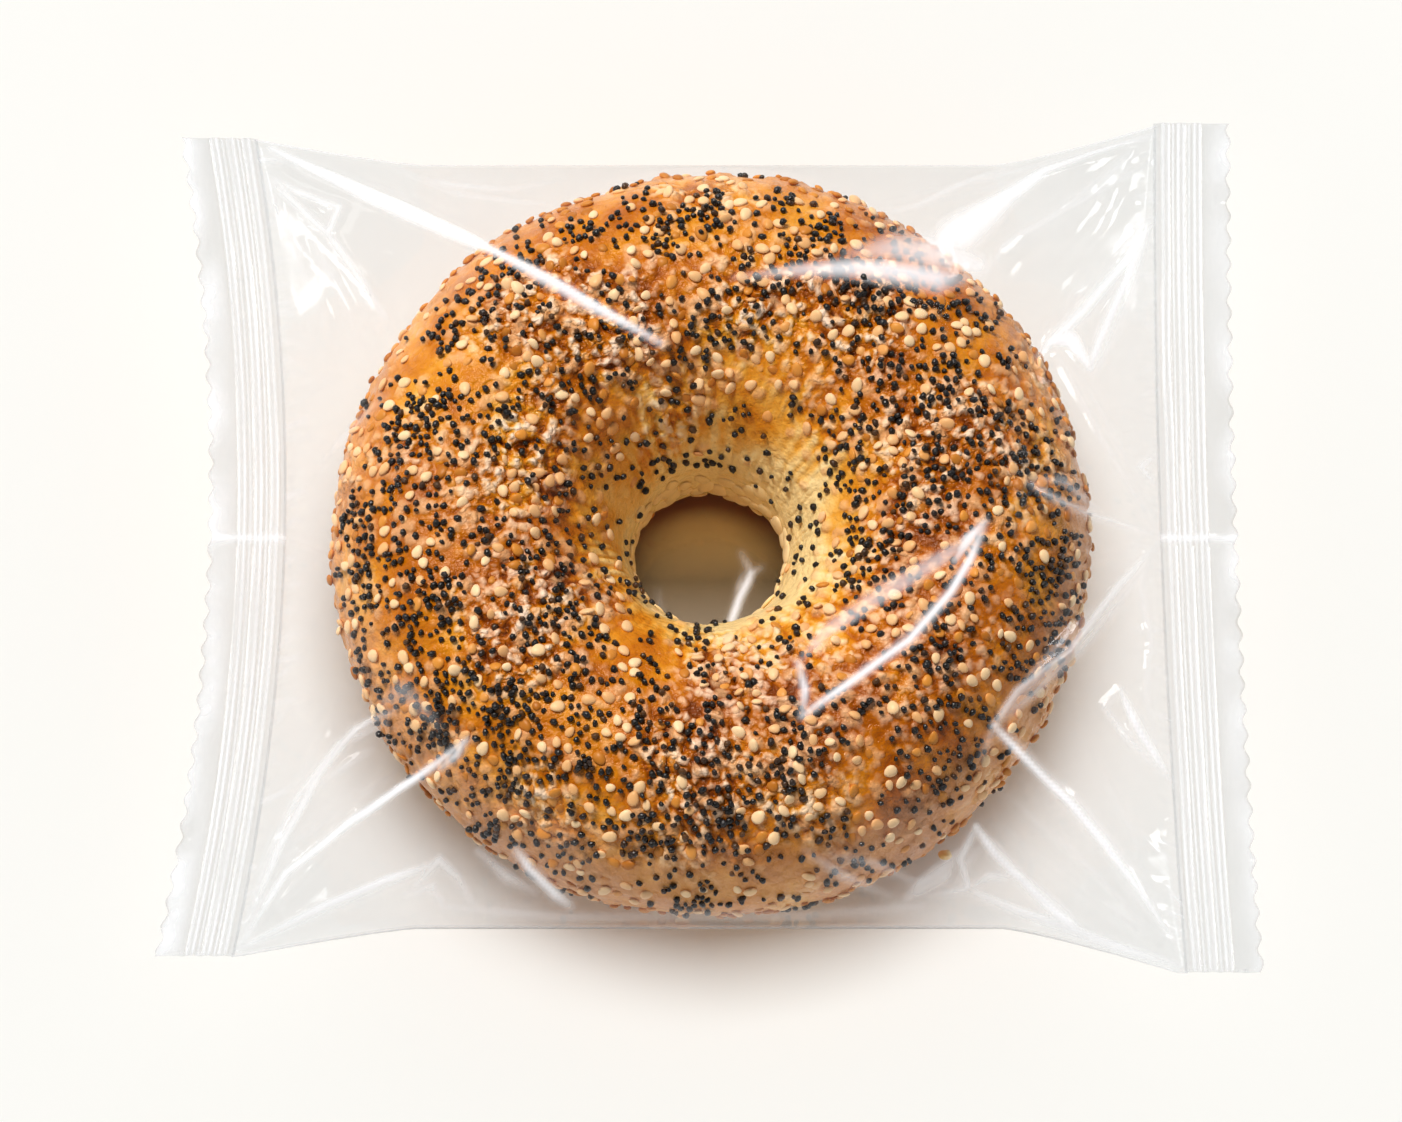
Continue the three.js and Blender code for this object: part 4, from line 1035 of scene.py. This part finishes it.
cameraValues = {
    "tilt": 18.5,          # degrees off the vertical
    "distance": 1400,      # mm
    "viewWidth": 203.2,    # mm across the picture at the ring's middle
    "aim": (-1.2, -2.9, 18),
    "sensor": 36,
}


def makeCamera():
    # looks down on the bag from its near side
    tilt = math.radians(cameraValues["tilt"])
    data = bpy.data.cameras.new("camera")
    data.sensor_width = cameraValues["sensor"]
    data.lens = cameraValues["sensor"] * cameraValues["distance"] / cameraValues["viewWidth"]
    data.clip_start, data.clip_end = 0.05, 20
    camera = bpy.data.objects.new("camera", data)
    bpy.context.collection.objects.link(camera)
    aim = Vector(cameraValues["aim"]) * mm
    camera.location = aim + Vector((0, -math.sin(tilt), math.cos(tilt))) * cameraValues["distance"] * mm
    camera.rotation_euler = (tilt, 0, 0)
    bpy.context.scene.camera = camera


lightValues = {
    # colour and strength of the room's light from the floor's level up to straight above
    "room": (("#FFFEFC", 0.0, 1.0), ("#FFFEFC", 0.4, 0.62), ("#FFFEFC", 0.75, 0.14), ("#FFFEFC", 1.0, 0.07)),
    # degrees from +Y towards +X, degrees above the floor, distance in mm, size in mm, radiance, colour and
    # what it does: lights the bagel, only glints on its seeds and wrinkles, lights the floor and film softly,
    # lifts the film's milky folds, or only shines on the film
    "boxes": {
        "keyPanel": (-38, 56, 3500, (1200, 1100), 35, "#FFFAF2", "bagel"),
        "glintLamp": (-30, 62, 3500, (500, 500), 120, "#FFF8F0", "glint"),
        "topPanel": (-10, 80, 3500, (2200, 2200), 7.15, "#FAFCFF", "soft"),
        "veilPanel": (-20, 60, 3500, (1200, 1200), 7.5, "#FFFFFF", "veil"),
        "farLeftBox": (-28, 34, 1500, (330, 300), 1.6, "#FFFFFF", "gloss"),
        "farRightBox": (26, 34, 1500, (330, 300), 6, "#FFFFFF", "gloss"),
        "leftBox": (-66, 31, 1500, (260, 240), 5, "#FFFFFF", "gloss"),
        "rightBox": (65, 31, 1500, (300, 260), 8, "#FFFFFF", "gloss"),
    },
}


def makeLights(lit):
    # lit holds the pieces that the lights of each use fall on
    receivers = {}
    for use, pieces in lit.items():
        receivers[use] = bpy.data.collections.new(use + "Receivers")
        for piece in pieces:
            receivers[use].objects.link(piece)
    world = bpy.data.worlds.new("studio")
    world.use_nodes = True
    tree = world.node_tree
    tree.nodes.clear()
    up = addNode(tree, "ShaderNodeTexCoord").outputs["Generated"]
    rise = addNode(tree, "ShaderNodeSeparateXYZ", Vector=up).outputs["Z"]
    ramp = addNode(tree, "ShaderNodeValToRGB", Fac=rise)
    while len(ramp.color_ramp.elements) < len(lightValues["room"]):
        ramp.color_ramp.elements.new(0.5)
    for element, (colour, place, strength) in zip(ramp.color_ramp.elements, lightValues["room"]):
        element.position = place
        element.color = tuple(channel * strength for channel in linearFrom(colour)[:3]) + (1,)
    background = addNode(tree, "ShaderNodeBackground", Color=ramp.outputs["Color"])
    addNode(tree, "ShaderNodeOutputWorld", Surface=background.outputs[0])
    bpy.context.scene.world = world
    for name, (azimuth, elevation, distance, size, radiance, colour, use) in lightValues["boxes"].items():
        a, e = math.radians(azimuth), math.radians(elevation)
        away = Vector((math.sin(a) * math.cos(e), math.cos(a) * math.cos(e), math.sin(e)))
        data = bpy.data.lights.new(name, "AREA")
        data.shape = "RECTANGLE"
        data.size, data.size_y = size[0] * mm, size[1] * mm
        data.energy = radiance * math.pi * data.size * data.size_y   # watts for this radiance
        data.color = linearFrom(colour)[:3]
        light = bpy.data.objects.new(name, data)
        light.location = away * distance * mm
        light.rotation_euler = (-away).to_track_quat("-Z", "Y").to_euler()
        light.visible_glossy = use in ("glint", "gloss")
        light.visible_diffuse = use in ("bagel", "soft", "veil")
        light.light_linking.receiver_collection = receivers[use]
        bpy.context.collection.objects.link(light)
    bpy.context.scene.view_settings.view_transform = "Standard"


def makeFloor():
    bm = bmesh.new()
    bmesh.ops.create_grid(bm, x_segments=1, y_segments=1, size=4)
    mesh = meshFrom(bm)
    material, tree = emptyMaterial("Painted board, matt warm white")
    paint = addNode(tree, "ShaderNodeBsdfDiffuse", Color=linearFrom("#F8F6F0"))
    addNode(tree, "ShaderNodeOutputMaterial", Surface=paint.outputs[0])
    mesh.materials.append(material)
    floor = bpy.data.objects.new("floor", mesh)
    bpy.context.collection.objects.link(floor)
    return floor


makeCamera()
floor = makeFloor()
filmSkin = filmMaterial()
film = makeFilm(filmSkin)
print("film made", len(film.data.polygons))
leftEnd = makeSeal("sealLeft", leftSeal, filmSkin, 3)
rightEnd = makeSeal("sealRight", rightSeal, filmSkin, 4)
print("seals made", len(leftEnd.data.polygons), len(rightEnd.data.polygons))
crustSkin = crustMaterial()
crust = makeCrust(crustSkin)
crumb = makeCrumb(crustSkin)
print("crust and crumb made", len(crust.data.polygons), len(crumb.data.polygons))
crustPlaces = crustFaces(crust)
crowd = {}
sesame = makeSesame(crustPlaces, crowd, sesameMaterial())
poppy = makePoppy(crustPlaces, crowd, poppyMaterial())
bagel, wrap = (crust, crumb, sesame, poppy), (film, leftEnd, rightEnd)
makeLights({"bagel": bagel, "glint": bagel, "soft": wrap + (floor,), "veil": wrap, "gloss": wrap})
for piece in wrap:
    piece.visible_shadow = False   # clear film lets nearly all the light through
for piece in wrap + bagel:
    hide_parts(bagNode)
